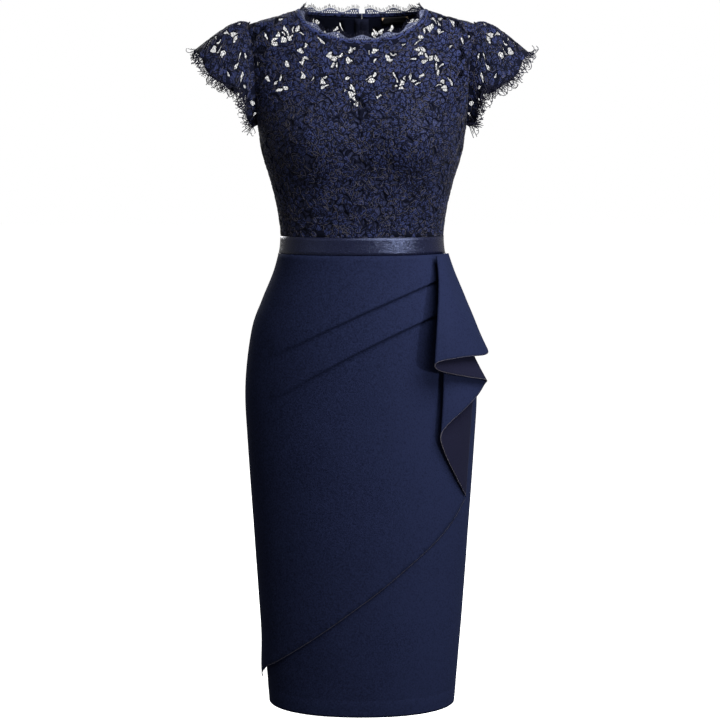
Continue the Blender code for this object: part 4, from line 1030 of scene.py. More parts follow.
def lash_tree():
    """Lashes on points that carry way, the direction they grow in, and side, across it."""
    floats = [(label, "NodeSocketFloat") for label in ("Length", "Curl", "Radius", "Lean", "Spin")]
    tree, given = start_tree("lashes_on_points", (*floats, ("Sides", "NodeSocketInt"), ("Seed", "NodeSocketInt")))
    wide = reckon(tree, "MULTIPLY", given["Length"], given["Curl"])
    size = add(tree, "ShaderNodeCombineXYZ", links={"X": wide, "Y": wide, "Z": given["Length"]}).outputs[0]
    kinds = tree.nodes.new("GeometryNodeJoinGeometry")
    for start, out, back, end in LASH_BENDS:
        values = {"Resolution": LASH_STEPS, "Start": start, "Start Handle": out, "End Handle": back, "End": end}
        bend = add(tree, "GeometryNodeCurvePrimitiveBezierSegment", values).outputs[0]
        sized = add(tree, "GeometryNodeTransform", links={"Geometry": bend, "Scale": size}).outputs[0]
        hair = tube_along(tree, sized, given)
        kind = add(tree, "GeometryNodeGeometryToInstance", links={"Geometry": hair}).outputs[0]
        tree.links.new(kind, kinds.inputs[0])
    way, side = (
        add(tree, "GeometryNodeInputNamedAttribute", {"Name": name}, data_type="FLOAT_VECTOR").outputs[0]
        for name in ("way", "side")
    )
    stand = add(tree, "FunctionNodeAxesToRotation", links={"Primary Axis": way, "Secondary Axis": side})
    stand.primary_axis, stand.secondary_axis = "Z", "X"
    links = {"X": given["Lean"], "Y": given["Lean"], "Z": given["Spin"]}
    most = add(tree, "ShaderNodeCombineXYZ", links=links).outputs[0]
    least = add(tree, "ShaderNodeVectorMath", {1: (-1.0, -1.0, -1.0)}, {0: most}, operation="MULTIPLY").outputs[0]
    turn = add(tree, "FunctionNodeRandomValue", data_type="FLOAT_VECTOR")
    for socket, output in ((turn.inputs[0], least), (turn.inputs[1], most), (turn.inputs["Seed"], given["Seed"])):
        tree.links.new(output, socket)
    turned = add(tree, "FunctionNodeEulerToRotation", links={"Euler": turn.outputs[0]}).outputs[0]
    grown = add(tree, "FunctionNodeRotateRotation", links={"Rotation": stand.outputs[0], "Rotate By": turned})
    grown.rotation_space = "LOCAL"
    which = add(tree, "FunctionNodeRandomValue", data_type="INT")
    which.inputs[4].default_value, which.inputs[5].default_value = 0, len(LASH_BENDS) - 1
    tree.links.new(given["Seed"], which.inputs["Seed"])
    length = add(tree, "FunctionNodeRandomValue", data_type="FLOAT")
    length.inputs[2].default_value, length.inputs[3].default_value = LASH_LENGTHS
    tree.links.new(given["Seed"], length.inputs["Seed"])
    links = {"Points": given["Guide"], "Instance": kinds.outputs[0], "Instance Index": which.outputs[2]}
    links |= {"Rotation": grown.outputs[0], "Scale": length.outputs[1]}
    placed = add(tree, "GeometryNodeInstanceOnPoints", {"Pick Instance": True}, links)
    return end_tree(tree, given, placed.outputs[0])


def stitch_tree():
    """Stitches laid end to end along the guide's lines."""
    floats = [(label, "NodeSocketFloat") for label in ("Pitch", "Length", "Radius")]
    tree, given = start_tree("stitches_along_lines", floats)
    line = add(tree, "GeometryNodeMeshToCurve", links={"Mesh": given["Guide"]}).outputs[0]
    marks = add(tree, "GeometryNodeResampleCurve", links={"Curve": line, "Length": given["Pitch"]}, mode="LENGTH")
    half = reckon(tree, "MULTIPLY", given["Length"], 0.5)
    size = add(tree, "ShaderNodeCombineXYZ", links={"X": given["Radius"], "Y": given["Radius"], "Z": half}).outputs[0]
    bead = add(tree, "GeometryNodeMeshUVSphere", {"Segments": 6, "Rings": 4, "Radius": 1.0}).outputs[0]
    stitch = add(tree, "GeometryNodeTransform", links={"Geometry": bead, "Scale": size}).outputs[0]
    tangent = tree.nodes.new("GeometryNodeInputTangent").outputs[0]
    lie = add(tree, "FunctionNodeAlignRotationToVector", links={"Vector": tangent}, axis="Z").outputs[0]
    links = {"Points": marks.outputs[0], "Instance": stitch, "Rotation": lie}
    return end_tree(tree, given, add(tree, "GeometryNodeInstanceOnPoints", links=links).outputs[0])


THREADS, LASHES, STITCHES = thread_tree(), lash_tree(), stitch_tree()
print("trees:", THREADS.name, LASHES.name, STITCHES.name)


# %% Running a tree on a guide
def guide_of(points, edges=(), **attributes):
    """A guide mesh: points, the edges between them, and a vector for each point by name."""
    mesh = bpy.data.meshes.new("guide")
    mesh.from_pydata(np.asarray(points, float).tolist(), [tuple(map(int, e)) for e in edges], [])
    for name, values in attributes.items():
        layer = mesh.attributes.new(name, "FLOAT_VECTOR", "POINT")
        layer.data.foreach_set("vector", np.asarray(values, float).ravel())
    return mesh


def grow(tree, guide, name, inputs):
    """Runs a tree on a guide and keeps what it makes as a plain mesh object."""
    rig = bpy.data.objects.new("rig", guide)
    bpy.context.scene.collection.objects.link(rig)
    modifier = rig.modifiers.new("tree", "NODES")
    modifier.node_group = tree
    for socket in tree.interface.items_tree:
        if socket.in_out == "INPUT" and socket.name in inputs:
            modifier[socket.identifier] = inputs[socket.name]
    graph = bpy.context.evaluated_depsgraph_get()
    mesh = bpy.data.meshes.new_from_object(rig.evaluated_get(graph), depsgraph=graph)
    bpy.data.objects.remove(rig)
    mesh.name = name
    piece = bpy.data.objects.new(name, mesh)
    GOODS.objects.link(piece)
    print(f"{name}: {len(mesh.polygons)} faces")
    return piece


def chain_edges(count, first=0):
    """The edges of one line of points in turn."""
    return [(first + i, first + i + 1) for i in range(count - 1)]


# %% [markdown]
# ## How the lace is drawn
#
# Lace of this kind is a dense field of petals and leaves, joined by a fine net, outlined with cords,
# and open between some petals. Each petal here is a cell of a Voronoi pattern: seeds are set in rings
# round staggered flower centres, and every cell is the cloth nearest to its seed. The cells are
# rounded, drawn in a little, and bent by a slow wave, so that straight borders become curved leaves.
# Some cells of each ring are left out as gaps. Drawing the petals by hand would take far longer and
# would not fill an armhole's curve as evenly.

# %% Seeds of the lace
FLOWER_PITCH = (0.068, 0.060)
RINGS = (
    # cells, radius, and the chance of a gap at each place of a repeating run
    (6, 0.0070, (0.0,)),
    (13, 0.0155, (0.9, 0.5)),
    (24, 0.0250, (0.95, 0.8, 0.25)),
)
FILL_REACH = 0.0288
FILL_CELL = 0.0088
FILL_OPEN = 0.08
WHOLE_FROM = 0.62  # from this openness on, a gap takes its whole cell
SEED_JITTER = 0.0011
LACE_MARGIN = 0.04
LINED_SHARE = 0.32  # how many of the gaps are kept where the lining lies behind
LINED_FROM = -0.012  # the sheer part's gaps stop this far under the lining's edge


def openness(x, z):
    """How open the lace is at a place, from 0 where it is dense to 1 where its gaps run together."""
    wave = math.sin(math.tau * (x / 0.061 + 0.35 * math.sin(math.tau * z / 0.085))) * math.cos(math.tau * z / 0.047)
    return max(0.0, min(1.0, 0.48 + 0.85 * wave + 0.15 * math.sin(math.tau * (x + z) / 0.019)))


def flower_centres(low, high):
    """Staggered flower centres over a box, each with its own turn."""
    rows = range(math.floor(low[1] / FLOWER_PITCH[1]), math.ceil(high[1] / FLOWER_PITCH[1]) + 1)
    columns = range(math.floor(low[0] / FLOWER_PITCH[0]) - 1, math.ceil(high[0] / FLOWER_PITCH[0]) + 1)
    for row in rows:
        for column in columns:
            x = (column + 0.5 * (row % 2)) * FLOWER_PITCH[0]
            yield (x, row * FLOWER_PITCH[1]), 0.9 * column + 2.3 * row


def lace_seeds(outline, seed, lining_edge):
    """Rows of (u, z, angle, kind), where kind is 0 for a petal, 1 for a small gap and 2 for a large one."""
    rng = np.random.default_rng(seed)
    low, high = np.min(outline, axis=0) - LACE_MARGIN, np.max(outline, axis=0) + LACE_MARGIN
    centres, seeds = [], []
    for centre, turn in flower_centres(low, high):
        centres.append(centre)
        seeds.append((*centre, turn, 0))
        for count, radius, chances in RINGS:
            for k in range(count):
                angle = turn + math.tau * k / count
                place = (centre[0] + radius * math.cos(angle), centre[1] + radius * math.sin(angle))
                lined = place[1] < lining_edge(place[0]) + LINED_FROM
                free = openness(*place)
                chance = chances[k % len(chances)] * (LINED_SHARE if lined else 1.0) * min(1.0, 1.5 * free)
                seeds.append((*place, angle, (1 + (free > WHOLE_FROM)) * (rng.random() < chance)))
    centres = np.array(centres)
    for u in np.arange(low[0], high[0], FILL_CELL):
        for z in np.arange(low[1], high[1], FILL_CELL):
            place = np.array([u, z]) + rng.uniform(-0.002, 0.002, 2)
            if np.linalg.norm(centres - place, axis=1).min() > FILL_REACH:
                seeds.append((*place, rng.uniform(0, math.tau), rng.random() < FILL_OPEN))
    seeds = np.array(seeds)
    seeds[:, :2] += rng.normal(0.0, SEED_JITTER, (len(seeds), 2))
    return seeds


# %% Cells of the lace
PETAL_CHANNEL = 0.00022
PETAL_LOBES = (5, 9)
PETAL_LOBE_DEPTH = 0.07
GAP_SIZE = {1: (1.0, 1.5), 2: (1.08, 1.18)}
GAP_NARROW = 0.36  # a small gap is a slit, this wide for its length
GAP_LOBES = ((3, 0.20), (5, 0.17), (8, 0.08))
WAVES = ((0.0021, 0.026, 0.3), (0.0007, 0.0115, 1.9))


def cells_of(places):
    """The Voronoi cell of each place that others close in, as a loop that runs anticlockwise."""
    made = delaunay_2d_cdt([Vector(p) for p in places], [], [], 0, 1e-9)
    points = np.array([tuple(v) for v in made[0]])
    faces = np.array([f for f in made[2] if len(f) == 3])
    corners = points[faces]
    a, b, c = corners[:, 0], corners[:, 1] - corners[:, 0], corners[:, 2] - corners[:, 0]
    twice = 2 * (b[:, 0] * c[:, 1] - b[:, 1] * c[:, 0])
    bb, cc = (b**2).sum(1), (c**2).sum(1)
    hubs = a + np.stack([c[:, 1] * bb - b[:, 1] * cc, b[:, 0] * cc - c[:, 0] * bb], axis=-1) / twice[:, None]
    around = {}
    for face, hub in zip(faces, hubs):
        for corner in face:
            around.setdefault(int(corner), []).append(hub)
    cells = {}
    for corner, loop in around.items():
        loop = np.array(loop) - points[corner]
        if len(loop) < 4 or np.abs(loop).max() > 0.03:
            continue
        order = np.argsort(np.arctan2(loop[:, 1], loop[:, 0]))
        for source in made[3][corner]:
            cells[source] = loop[order] + points[corner]
    return cells


def rounded(loop, rounds=2):
    """Cuts a loop's corners off a few times, so that a polygon becomes a petal."""
    for _ in range(rounds):
        ahead = np.roll(loop, -1, axis=0)
        loop = np.stack([0.75 * loop + 0.25 * ahead, 0.25 * loop + 0.75 * ahead], axis=1).reshape(-1, 2)
    return loop


def drawn_in(loop, distance):
    """The loop, each point moved towards the middle by a distance."""
    middle = loop.mean(axis=0)
    away = loop - middle
    far = np.linalg.norm(away, axis=1, keepdims=True)
    return middle + away * np.maximum(0.2, 1 - distance / np.maximum(far, 1e-6))


def waved(points):
    """Moves flat points by slow waves, which bend straight borders."""
    moved = np.array(points, float)
    for size, length, start in WAVES:
        x, y = points.T
        moved[:, 0] += size * np.sin(math.tau * (y + 0.3 * x) / length + start)
        moved[:, 1] += size * np.sin(math.tau * (x - 0.4 * y) / length + 2 * start)
    return moved


def gap_loop(cell, kind, rng):
    """A gap inside its cell, with an uneven, lobed edge."""
    edge = rounded(cell, 1)
    middle = cell.mean(axis=0)
    turn = np.arctan2(*(edge - middle).T[::-1])
    depth = sum(size * (1 + np.sin(lobes * turn + rng.uniform(0, math.tau))) for lobes, size in GAP_LOBES)
    reach = (edge - middle) * (rng.uniform(*GAP_SIZE[kind]) * (1 - 0.6 * depth))[:, None]
    if kind == 1:
        aim = rng.uniform(0, math.tau)
        across = np.array([-math.sin(aim), math.cos(aim)])
        reach = reach - (1 - GAP_NARROW) * (reach @ across)[:, None] * across
    return middle + reach


def petal_loop(cell, rng):
    """A petal inside its cell, with a softly scalloped edge. One of many corners is rounded once."""
    loop = rounded(cell, 2 if len(cell) < 8 else 1)
    middle = cell.mean(axis=0)
    turn = np.arctan2(*(loop - middle).T[::-1])
    lobes = 1 - PETAL_LOBE_DEPTH * np.abs(np.sin(0.5 * rng.integers(*PETAL_LOBES) * turn + rng.uniform(0, math.tau)))
    return drawn_in(middle + (loop - middle) * lobes[:, None], PETAL_CHANNEL)


def draw_cells(seeds, seed):
    """Every cell as (loop, angle, kind), rounded, drawn in and bent."""
    rng = np.random.default_rng(seed)
    cells = cells_of(seeds[:, :2])
    drawn = []
    for index, (_, _, angle, kind) in enumerate(seeds):
        if index in cells:
            cell = cells[index]
            loop = gap_loop(cell, int(kind), rng) if kind else petal_loop(cell, rng)
            drawn.append((waved(loop), angle, int(kind)))
    return drawn


def fit_cells(drawn, outline, gap_margin=0.0024):
    """The petals, as (loop, angle), and the gaps, as loops, that a panel's outline holds."""
    outline = spaced(outline, 0.006)
    points = np.vstack([loop for loop, _, _ in drawn])
    ends = np.cumsum([len(loop) for loop, _, _ in drawn])[:-1]
    rows = [np.split(values, ends) for values in (inside(points, outline), *clearance(points, outline))]
    petals, gaps = [], []
    for (loop, angle, kind), within, away, nearest in zip(drawn, *rows):
        if kind and within.all() and away.min() > gap_margin:
            gaps.append([tuple(p) for p in loop])
        elif not kind and within.mean() > 0.3:
            petals.append((drawn_in(np.where(within[:, None], loop, nearest), 0.0 if within.all() else 0.0003), angle))
    return petals, gaps


# %% [markdown]
# ## Making the lace
#
# A panel of lace is four pieces. The ground is the cloth itself, cut through at every gap. The petals
# are raised islands on it. Cords lie along parts of the petals' edges and ribs, and the net is a
# honeycomb of bars across the gaps. The petals carry a UV map of their own, with one axis along the
# petal, so that the satin stitches in their material slant across each one.

# %% Petals, cords and net
GROUND_WALL = 0.0007
PETAL_RINGS = ((1.0, 0.0003), (0.98, 0.00080), (0.88, 0.00092))
SHEER_PAINTED_LIGHT = ((-0.155, -0.11, -0.001, 0.0), (0.0, 0.8, 0.8, 0.0))  # painted light: petals of the sheer part are painted lighter, for the light that comes through it
CORD_RADIUS = 0.00027
CORD_HEIGHT = 0.00105
NET_RADIUS = 0.00024
NET_CELL = (0.0036, 0.0046)
NET_BAR = 0.0016
CORD_SHARE = 0.50
RIB_SHARE = 0.40


def sew_petals(name, petals, place, material, seed, flip=False):
    """Every petal as a closed island: a foot, an edge, a shoulder and a crown."""
    rng = np.random.default_rng(seed)
    flat, outs, faces, local, tones_and_light = [], [], [], [], []
    for loop, angle in petals:
        n, first = len(loop), len(flat)
        middle = loop.mean(axis=0)
        along = np.array([math.cos(angle), math.sin(angle)])
        across = np.array([-along[1], along[0]])
        points = [(middle, PETAL_RINGS[0][1])]
        points += [(p, height) for share, height in PETAL_RINGS for p in middle + (loop - middle) * share]
        points.append((middle, PETAL_RINGS[-1][1]))
        flat += [point for point, _ in points]
        outs += [height for _, height in points]
        local += [(float((point - middle) @ along), float((point - middle) @ across)) for point, _ in points]
        # each petal's random shade, plus painted light on the petals of the sheer part
        tones_and_light += [rng.uniform(0.0, 1.0) + float(np.interp(middle[1], *SHEER_PAINTED_LIGHT))] * len(points)
        last = first + 3 * n + 1
        for i in range(n):
            j = (i + 1) % n
            ring = [(first + 1 + r * n + i, first + 1 + r * n + j) for r in range(3)]
            faces.append((first, ring[0][1], ring[0][0]))
            faces += [(a, b, d, c) for (a, b), (c, d) in zip(ring, ring[1:])]
            faces.append((*ring[2], last))
    if flip:
        faces = [face[::-1] for face in faces]
    flat = np.array(flat)
    piece = mesh_object(name, place(flat[:, 0], flat[:, 1], np.array(outs)), faces, [material], uv=local)
    piece.data.attributes.new("tone_and_light", "FLOAT", "POINT").data.foreach_set("value", np.array(tones_and_light))
    print(f"{name}: {len(petals)} petals, {len(faces)} faces")
    return piece


def lay_cords(name, petals, place, material, seed):
    """Cords along parts of the petals' edges, and a curved rib down some of them."""
    rng = np.random.default_rng(seed)
    flat, edges = [], []
    for loop, angle in petals:
        middle = loop.mean(axis=0)
        lines = []
        if rng.random() < CORD_SHARE:
            count = int(len(loop) * rng.uniform(0.3, 0.9))
            lines.append(middle + (np.roll(loop, int(rng.integers(len(loop))), axis=0)[:count] - middle) * 0.93)
        if rng.random() < RIB_SHARE:
            along = np.array([math.cos(angle), math.sin(angle)])
            reach = along * np.abs((loop - middle) @ along).max() * 0.8
            side = np.array([-reach[1], reach[0]]) * rng.uniform(-0.35, 0.35)
            lines.append(np.array([middle + reach * t + side * (1 - t * t) for t in np.linspace(-1, 1, 7)]))
        for line in lines:
            edges += chain_edges(len(line), len(flat))
            flat += list(line)
    flat = np.array(flat)
    guide = guide_of(place(flat[:, 0], flat[:, 1], np.full(len(flat), CORD_HEIGHT)), edges)
    return grow(THREADS, guide, name, {"Radius": CORD_RADIUS, "Sides": 4, "Material": material})


def tie_net(name, gaps, place, material):
    """A honeycomb of bars, drawn over a panel and kept where it crosses a gap."""
    width, height = NET_CELL
    flat, edges = [], []
    for gap in gaps:
        gap = np.array(gap)
        wider = gap.mean(axis=0) + (gap - gap.mean(axis=0)) * 1.15
        low, high = wider.min(axis=0), wider.max(axis=0)
        bars = []
        for j in range(math.floor(low[1] / height) - 1, math.ceil(high[1] / height) + 2):
            for i in range(math.floor(low[0] / width) - 1, math.ceil(high[0] / width) + 1):
                x, y = (i + 0.5 * (j % 2)) * width, j * height
                top = (x, y + NET_BAR)
                bars += [(top, (x, y - NET_BAR)), (top, (x - width / 2, y + height - NET_BAR))]
                bars.append((top, (x + width / 2, y + height - NET_BAR)))
        for bar in np.array(bars)[inside(np.mean(bars, axis=1), wider)]:
            edges.append((len(flat), len(flat) + 1))
            flat += list(bar)
    flat = np.array(flat)
    guide = guide_of(place(flat[:, 0], flat[:, 1], np.full(len(flat), 0.5 * GROUND_WALL)), edges)
    return grow(THREADS, guide, name, {"Radius": NET_RADIUS, "Sides": 4, "Material": material})

# %% [markdown]
# ## Lace finishes
#
# The ground is dark and flat. Petals are filled with fine slanting satin stitches, so their colour
# and bump run in stripes a millimetre or two apart. Dark veins wind across them: they are the level
# lines of a slow noise. Each petal has a shade of its own from a stored attribute, and those of the
# sheer part are painted lighter, as painted light. Each petal is also painted lighter from root to
# tip, as painted shade that makes it look raised. Cords are twisted from a greyer yarn that catches
# the light. The net is plain.

# %% Ground, petals, cords and net
LACE_GROUND = ((0.0010, 0.0013, 0.0040), (0.0028, 0.0036, 0.0095))
PETAL_NAVY = ((0.0006, 0.0008, 0.0026), (0.0172, 0.0228, 0.0680))
VEIN_SCALE = 70.0  # bends of the veins per metre
VEIN_STEP = 0.066  # how close together the veins run
PETAL_ROOT_SHADE = 70.0  # painted shade: how fast a petal lightens from its dark root to its tip, per metre, so it looks raised
CORD_GREY = ((0.0110, 0.0105, 0.0150), (0.0480, 0.0440, 0.0530))
NET_DARK = ((0.0040, 0.0048, 0.0120), (0.0100, 0.0120, 0.0260))
# painted light: the neck strip's navy is painted far lighter than the lace's, for the light that catches it in front
STRIP_LIT_NAVY = ((0.0240, 0.0280, 0.0560), (0.1000, 0.1100, 0.1650))
STITCH_PITCH = 0.0026
STITCH_SLANT = 0.7


def petal_cloth(name, navies):
    """Slanting satin stitches with dark veins, in a shade of each petal's own and painted light on the sheer part."""
    material, tree, shader = new_finish(name, {**MATT, "Specular IOR Level": 0.04, "Roughness": 0.62})
    flat = cloth_place(tree)
    turned = add(tree, "ShaderNodeMapping", {"Rotation": (0.0, 0.0, STITCH_SLANT)}, {"Vector": flat}).outputs["Vector"]
    values = {"Scale": 1 / STITCH_PITCH / 3.2, "Distortion": 1.6, "Detail": 2.0, "Detail Scale": 2.0}
    rows = add(tree, "ShaderNodeTexWave", values, {"Vector": turned}, wave_type="BANDS").outputs["Fac"]
    tone_and_light = add(tree, "ShaderNodeAttribute", attribute_name="tone_and_light").outputs["Fac"]
    grain = noise(tree, object_place(tree), 420.0, 4.0, 0.75)
    share = reckon(tree, "MULTIPLY_ADD", tone_and_light, 0.40, rows)
    share = reckon(tree, "MULTIPLY_ADD", grain, 1.8, share)
    # painted shade: each petal is darker at its root and lighter towards its tip
    along = add(tree, "ShaderNodeSeparateXYZ", {}, {0: flat}).outputs["X"]
    share = reckon(tree, "MULTIPLY_ADD", along, PETAL_ROOT_SHADE, share)
    field = noise(tree, object_place(tree), VEIN_SCALE, 2.0, 0.6)
    veins = reckon(tree, "PINGPONG", field, VEIN_STEP)
    veins = ramp(tree, veins, 0.013, 0.036)
    share = reckon(tree, "MULTIPLY", ramp(tree, share, 0.85, 2.45), veins)
    tree.links.new(mixed(tree, share, *navies), shader.inputs["Base Color"])
    both = reckon(tree, "ADD", rows, grain)
    both = reckon(tree, "ADD", both, veins)
    bump(tree, shader, both, 0.0004, 0.7)
    return material


def yarn(name, colours, sockets, grain=1300.0):
    """Thread: two shades mottled along it, with a slight gloss."""
    material, tree, shader = new_finish(name, sockets)
    fine = noise(tree, object_place(tree), grain, 2.0, 0.6)
    tree.links.new(mixed(tree, ramp(tree, fine, 0.35, 0.65), *colours), shader.inputs["Base Color"])
    bump(tree, shader, fine, 0.0001, 0.5)
    return material


GROUND = grained_cloth("lace_ground", LACE_GROUND, 1100.0, 0.0002, MATT)
PETAL = petal_cloth("lace_petals", PETAL_NAVY)
CORD = yarn("lace_cord", CORD_GREY, {**MATT, "Roughness": 0.5, "Specular IOR Level": 0.12}, 300.0)
NET = yarn("lace_net", NET_DARK, MATT)
# the strip and its cord take the lighter navy, as painted light
STRIP_LIT = yarn("scalloped_net_painted_light", STRIP_LIT_NAVY, MATT, 350.0)
print("finishes:", GROUND.name, PETAL.name, CORD.name, NET.name)

# %% [markdown]
# ## Scallops and eyelashes
#
# The lace ends in waves, and along them the long loose threads called eyelashes. A line along the
# edge carries the direction that each lash grows in, and the lash tree does the rest.

# %% Lashes along an edge
SCALLOP_PITCH = 0.038
LASH = yarn("lash_yarn", ((0.0040, 0.0045, 0.0110), (0.0110, 0.0115, 0.0230)), MATT)


def scallop(w, rise):
    """The waved edge of the lace, w metres along it."""
    return rise * 0.5 * (1 + math.cos(math.tau * w / SCALLOP_PITCH))


def stand_lashes(name, place, line, pitch, turn, inputs):
    """Lashes at an even pitch along a flat line. turn leans them from straight out."""
    line = np.array(spaced(line, pitch, closed=False))
    here = place(line[:, 0], line[:, 1], np.full(len(line), 0.0005))
    run = np.gradient(here, axis=0)
    run /= np.linalg.norm(run, axis=1, keepdims=True)
    beyond = place(line[:, 0], line[:, 1] + 0.001, np.full(len(line), 0.0005)) - here
    beyond += turn * 0.001 * run
    way = beyond / np.linalg.norm(beyond, axis=1, keepdims=True)
    guide = guide_of(here - way * 0.0008, way=way, side=run)
    piece = grow(LASHES, guide, name, {**inputs, "Sides": 3, "Seed": LASH_DRAW, "Material": LASH})
    print(f"{name}: {len(line)} lashes")
    return wear(piece, [])

# %% [markdown]
# ## Neck edge
#
# The neckline is bound with a narrow folded band of the same lace, open at the zip. A scalloped
# strip of net stands on the band, finished with a cord along its waves and with lashes. The band and
# the strip are drawn along the neckline's own length, so the waves stay even round the curve.

# %% The neckline
BINDING_OUT = 0.0014
BINDING_WALL = 0.0020
BINDING_WIDTH = 0.0045
NECK_TRIM_LOW = 0.0024
NECK_TRIM_RISE = 0.0060
NECK_TRIM_LIFT = 0.35
TRIM_WALL = 0.0006
NOTCH_HALF_WIDTH = 0.0045
TRIM_HOLE = (0.0011, 0.0013)
TRIM_HOLE_PITCH = (0.0034, 0.0030)


def neckline(count, out=0.0):
    """The neckline from the centre back, round the right side and the front, to the back again."""
    shares = [float(share) for share in np.linspace(1.0, 0.0, count // 2 + 1)]
    turns = [(share, RIGHT) for share in shares] + [(share, LEFT) for share in reversed(shares[:-1])]
    return np.array([FIGURE.at(*neck_point(share, side), out) for share, side in turns])


NECK = neckline(120)
NECK_NORMAL = neckline(120, 1.0) - NECK
NECK_WALK = np.concatenate([[0.0], np.cumsum(np.linalg.norm(np.diff(NECK, axis=0), axis=1))])
NECK_LENGTH = float(NECK_WALK[-1])
HALF_NECK = NECK_LENGTH / 2


def along_neck(w):
    """Neckline points, the run along it, and the direction out of the cloth."""
    w = np.asarray(w, float)
    point, ahead, behind_it, outward = (
        np.stack([np.interp(at, NECK_WALK, table[:, i]) for i in range(3)], axis=-1)
        for at, table in ((w, NECK), (w + 0.002, NECK), (w - 0.002, NECK), (w, NECK_NORMAL))
    )
    run = ahead - behind_it
    run /= np.linalg.norm(run, axis=-1, keepdims=True)
    outward = outward - (outward * run).sum(-1, keepdims=True) * run
    outward /= np.linalg.norm(outward, axis=-1, keepdims=True)
    return point, run, outward


def place_binding(w, v):
    """The band's inner face, full along its middle and turned in at both edges."""
    point, run, outward = along_neck(w)
    full = 0.0008 * np.sin(np.pi * np.clip(v / BINDING_WIDTH, 0, 1)) - 0.0003
    return point + np.cross(outward, run) * v[..., None] + outward * (BINDING_OUT + full)[..., None]


def place_neck_trim(w, v, out):
    """The strip carries on from the band's edge and lifts a little from the figure."""
    w, v = np.asarray(w, float), np.asarray(v, float)
    point, run, outward = along_neck(w)
    inward = np.cross(outward, run)
    rise = inward + np.array([0.0, 0.0, NECK_TRIM_LIFT])
    rise /= np.linalg.norm(rise, axis=-1, keepdims=True)
    foot = point + inward * (BINDING_WIDTH - 0.0004) + outward * (BINDING_OUT + 0.45 * BINDING_WALL)
    return foot + rise * v[..., None] + outward * np.asarray(out)[..., None]


def trim_edge(w):
    return NECK_TRIM_LOW + 2 * SEAM + scallop(w - HALF_NECK, NECK_TRIM_RISE)


# %% Sewing the neck
def sew_neck():
    """The band, strip, cord and lashes of the neck. They are narrow, so they are declared with the
    lace front.
    """
    ends = (SEAM / 2, NECK_LENGTH - SEAM / 2)
    foot = [(float(w), SEAM) for w in np.linspace(*ends, 200)]
    outline = foot + [(w, BINDING_WIDTH) for w, v in foot][::-1]
    band = cut_cloth("neck_band", outline, place_binding, BINDING_WALL, (0.0035, 0.0011), [PETAL], edge_step=0.0035)
    wear(band, ["neck_binding"])

    ends = (NOTCH_HALF_WIDTH, NECK_LENGTH - NOTCH_HALF_WIDTH)
    run = [float(w) for w in np.linspace(*ends, 260)]
    edge = [(w, trim_edge(w)) for w in run]
    outline = [(w, 0.0) for w in run] + edge[::-1]
    diamond = ((1, 0), (0, 1), (-1, 0), (0, -1))
    holes = []
    for row in range(3):
        v = 0.0021 + row * TRIM_HOLE_PITCH[1]
        for w in np.arange(ends[0] + 0.003, ends[1] - 0.003, TRIM_HOLE_PITCH[0]):
            w += 0.5 * TRIM_HOLE_PITCH[0] * (row % 2)
            if v + TRIM_HOLE[1] + 0.0007 < trim_edge(w):
                holes.append([(w + a * TRIM_HOLE[0], v + b * TRIM_HOLE[1]) for a, b in diamond])
    base = lambda w, v: place_neck_trim(w, v, 0.0)
    cut = {"holes": holes, "edge_step": 0.004, "flip": True}
    strip = cut_cloth("neck_strip", outline, base, TRIM_WALL, (0.004, 0.003), [STRIP_LIT], **cut)
    wear(strip, ["neck_trim"])
    flat = np.array([(w, v - 0.0006) for w, v in edge])
    waves = guide_of(place_neck_trim(flat[:, 0], flat[:, 1], np.full(len(flat), -0.0003)), chain_edges(len(flat)))
    cord = grow(THREADS, waves, "neck_strip_cord", {"Radius": 0.00052, "Sides": 5, "Material": STRIP_LIT})
    wear(cord, [])
    size = {"Length": 0.0062, "Curl": 0.30, "Radius": 0.00021, "Lean": 0.28, "Spin": 3.1}
    lashes = stand_lashes("neck_strip_lashes", place_neck_trim, edge, 0.0021, 0.15, size)
    return [band, strip, cord, lashes]


print("neckline:", round(NECK_LENGTH * 1000), "mm")

# %% [markdown]
# ## Lace front and back
#
# The front is one panel from the ribbon to the neck, and the back is two that meet at the zip. The
# back's cells are the front's own, carried along lines of sight from the camera, so that an open
# place in one lies behind an open place in the other and light comes through both.

# %% Outlines and cells of the lace panels
LACE_CELL = (0.008, 0.008)
# Each panel's fixed seeds, for its petals' places, its cells and its threads.
FRONT_DRAWS, BACK_DRAWS, SLEEVE_DRAWS = (7, 11, 31), (23, 12, 37), (19, 13, 41)
SEE_THROUGH_REACH = 0.150
BACK_SPACING = 0.0095


def lace_half(half):
    """The left half of a lace panel: side seam, armhole, shoulder and neck."""
    neck = yoke_top(half)
    neck = neck[len(neck) // 2 :]
    side = side_edge(half, RIBBON_TOP + SEAM, UNDERARM, count=16)
    shoulder = side_edge(half, SHOULDER_TIP, neck[-1][1], count=8)
    return side + armhole(half, UNDERARM)[1:-1] + shoulder[:-1] + neck[::-1]


def behind(points):
    """Where lines of sight through front points meet the back, as (u, z)."""
    eye = np.array(CAMERA_PLACE)
    ahead = FIGURE.at(points[:, 0], points[:, 1], FRONT, LACE_OUT)
    way = (ahead - eye) / (ahead - eye)[:, 1:2]
    u, z = -ahead[:, 0], ahead[:, 2]
    for _ in range(14):
        here = FIGURE.at(u, z, BACK, LACE_OUT)
        aim = eye + way * (here[:, 1:2] - eye[1])
        u, z = u - (aim - here)[:, 0], np.minimum(z + (aim - here)[:, 2], 0.004)
    return np.stack([u, z], axis=1)


def back_cells(front, outline):
    """The front's cells carried to the back, and the back's own where none reach."""
    carried = []
    for loop, angle, kind in front:
        if np.abs(loop[:, 0]).max() < SEE_THROUGH_REACH and loop[:, 1].max() < -0.004:
            carried.append((behind(loop)[::-1], math.pi - angle, kind))
    middles = np.array([loop.mean(axis=0) for loop, _, _ in carried])
    own = draw_cells(lace_seeds(outline, BACK_DRAWS[0], lambda u: BACK_LINING_TOP), BACK_DRAWS[1])
    return carried + [c for c in own if np.linalg.norm(middles - c[0].mean(axis=0), axis=1).min() > BACK_SPACING]


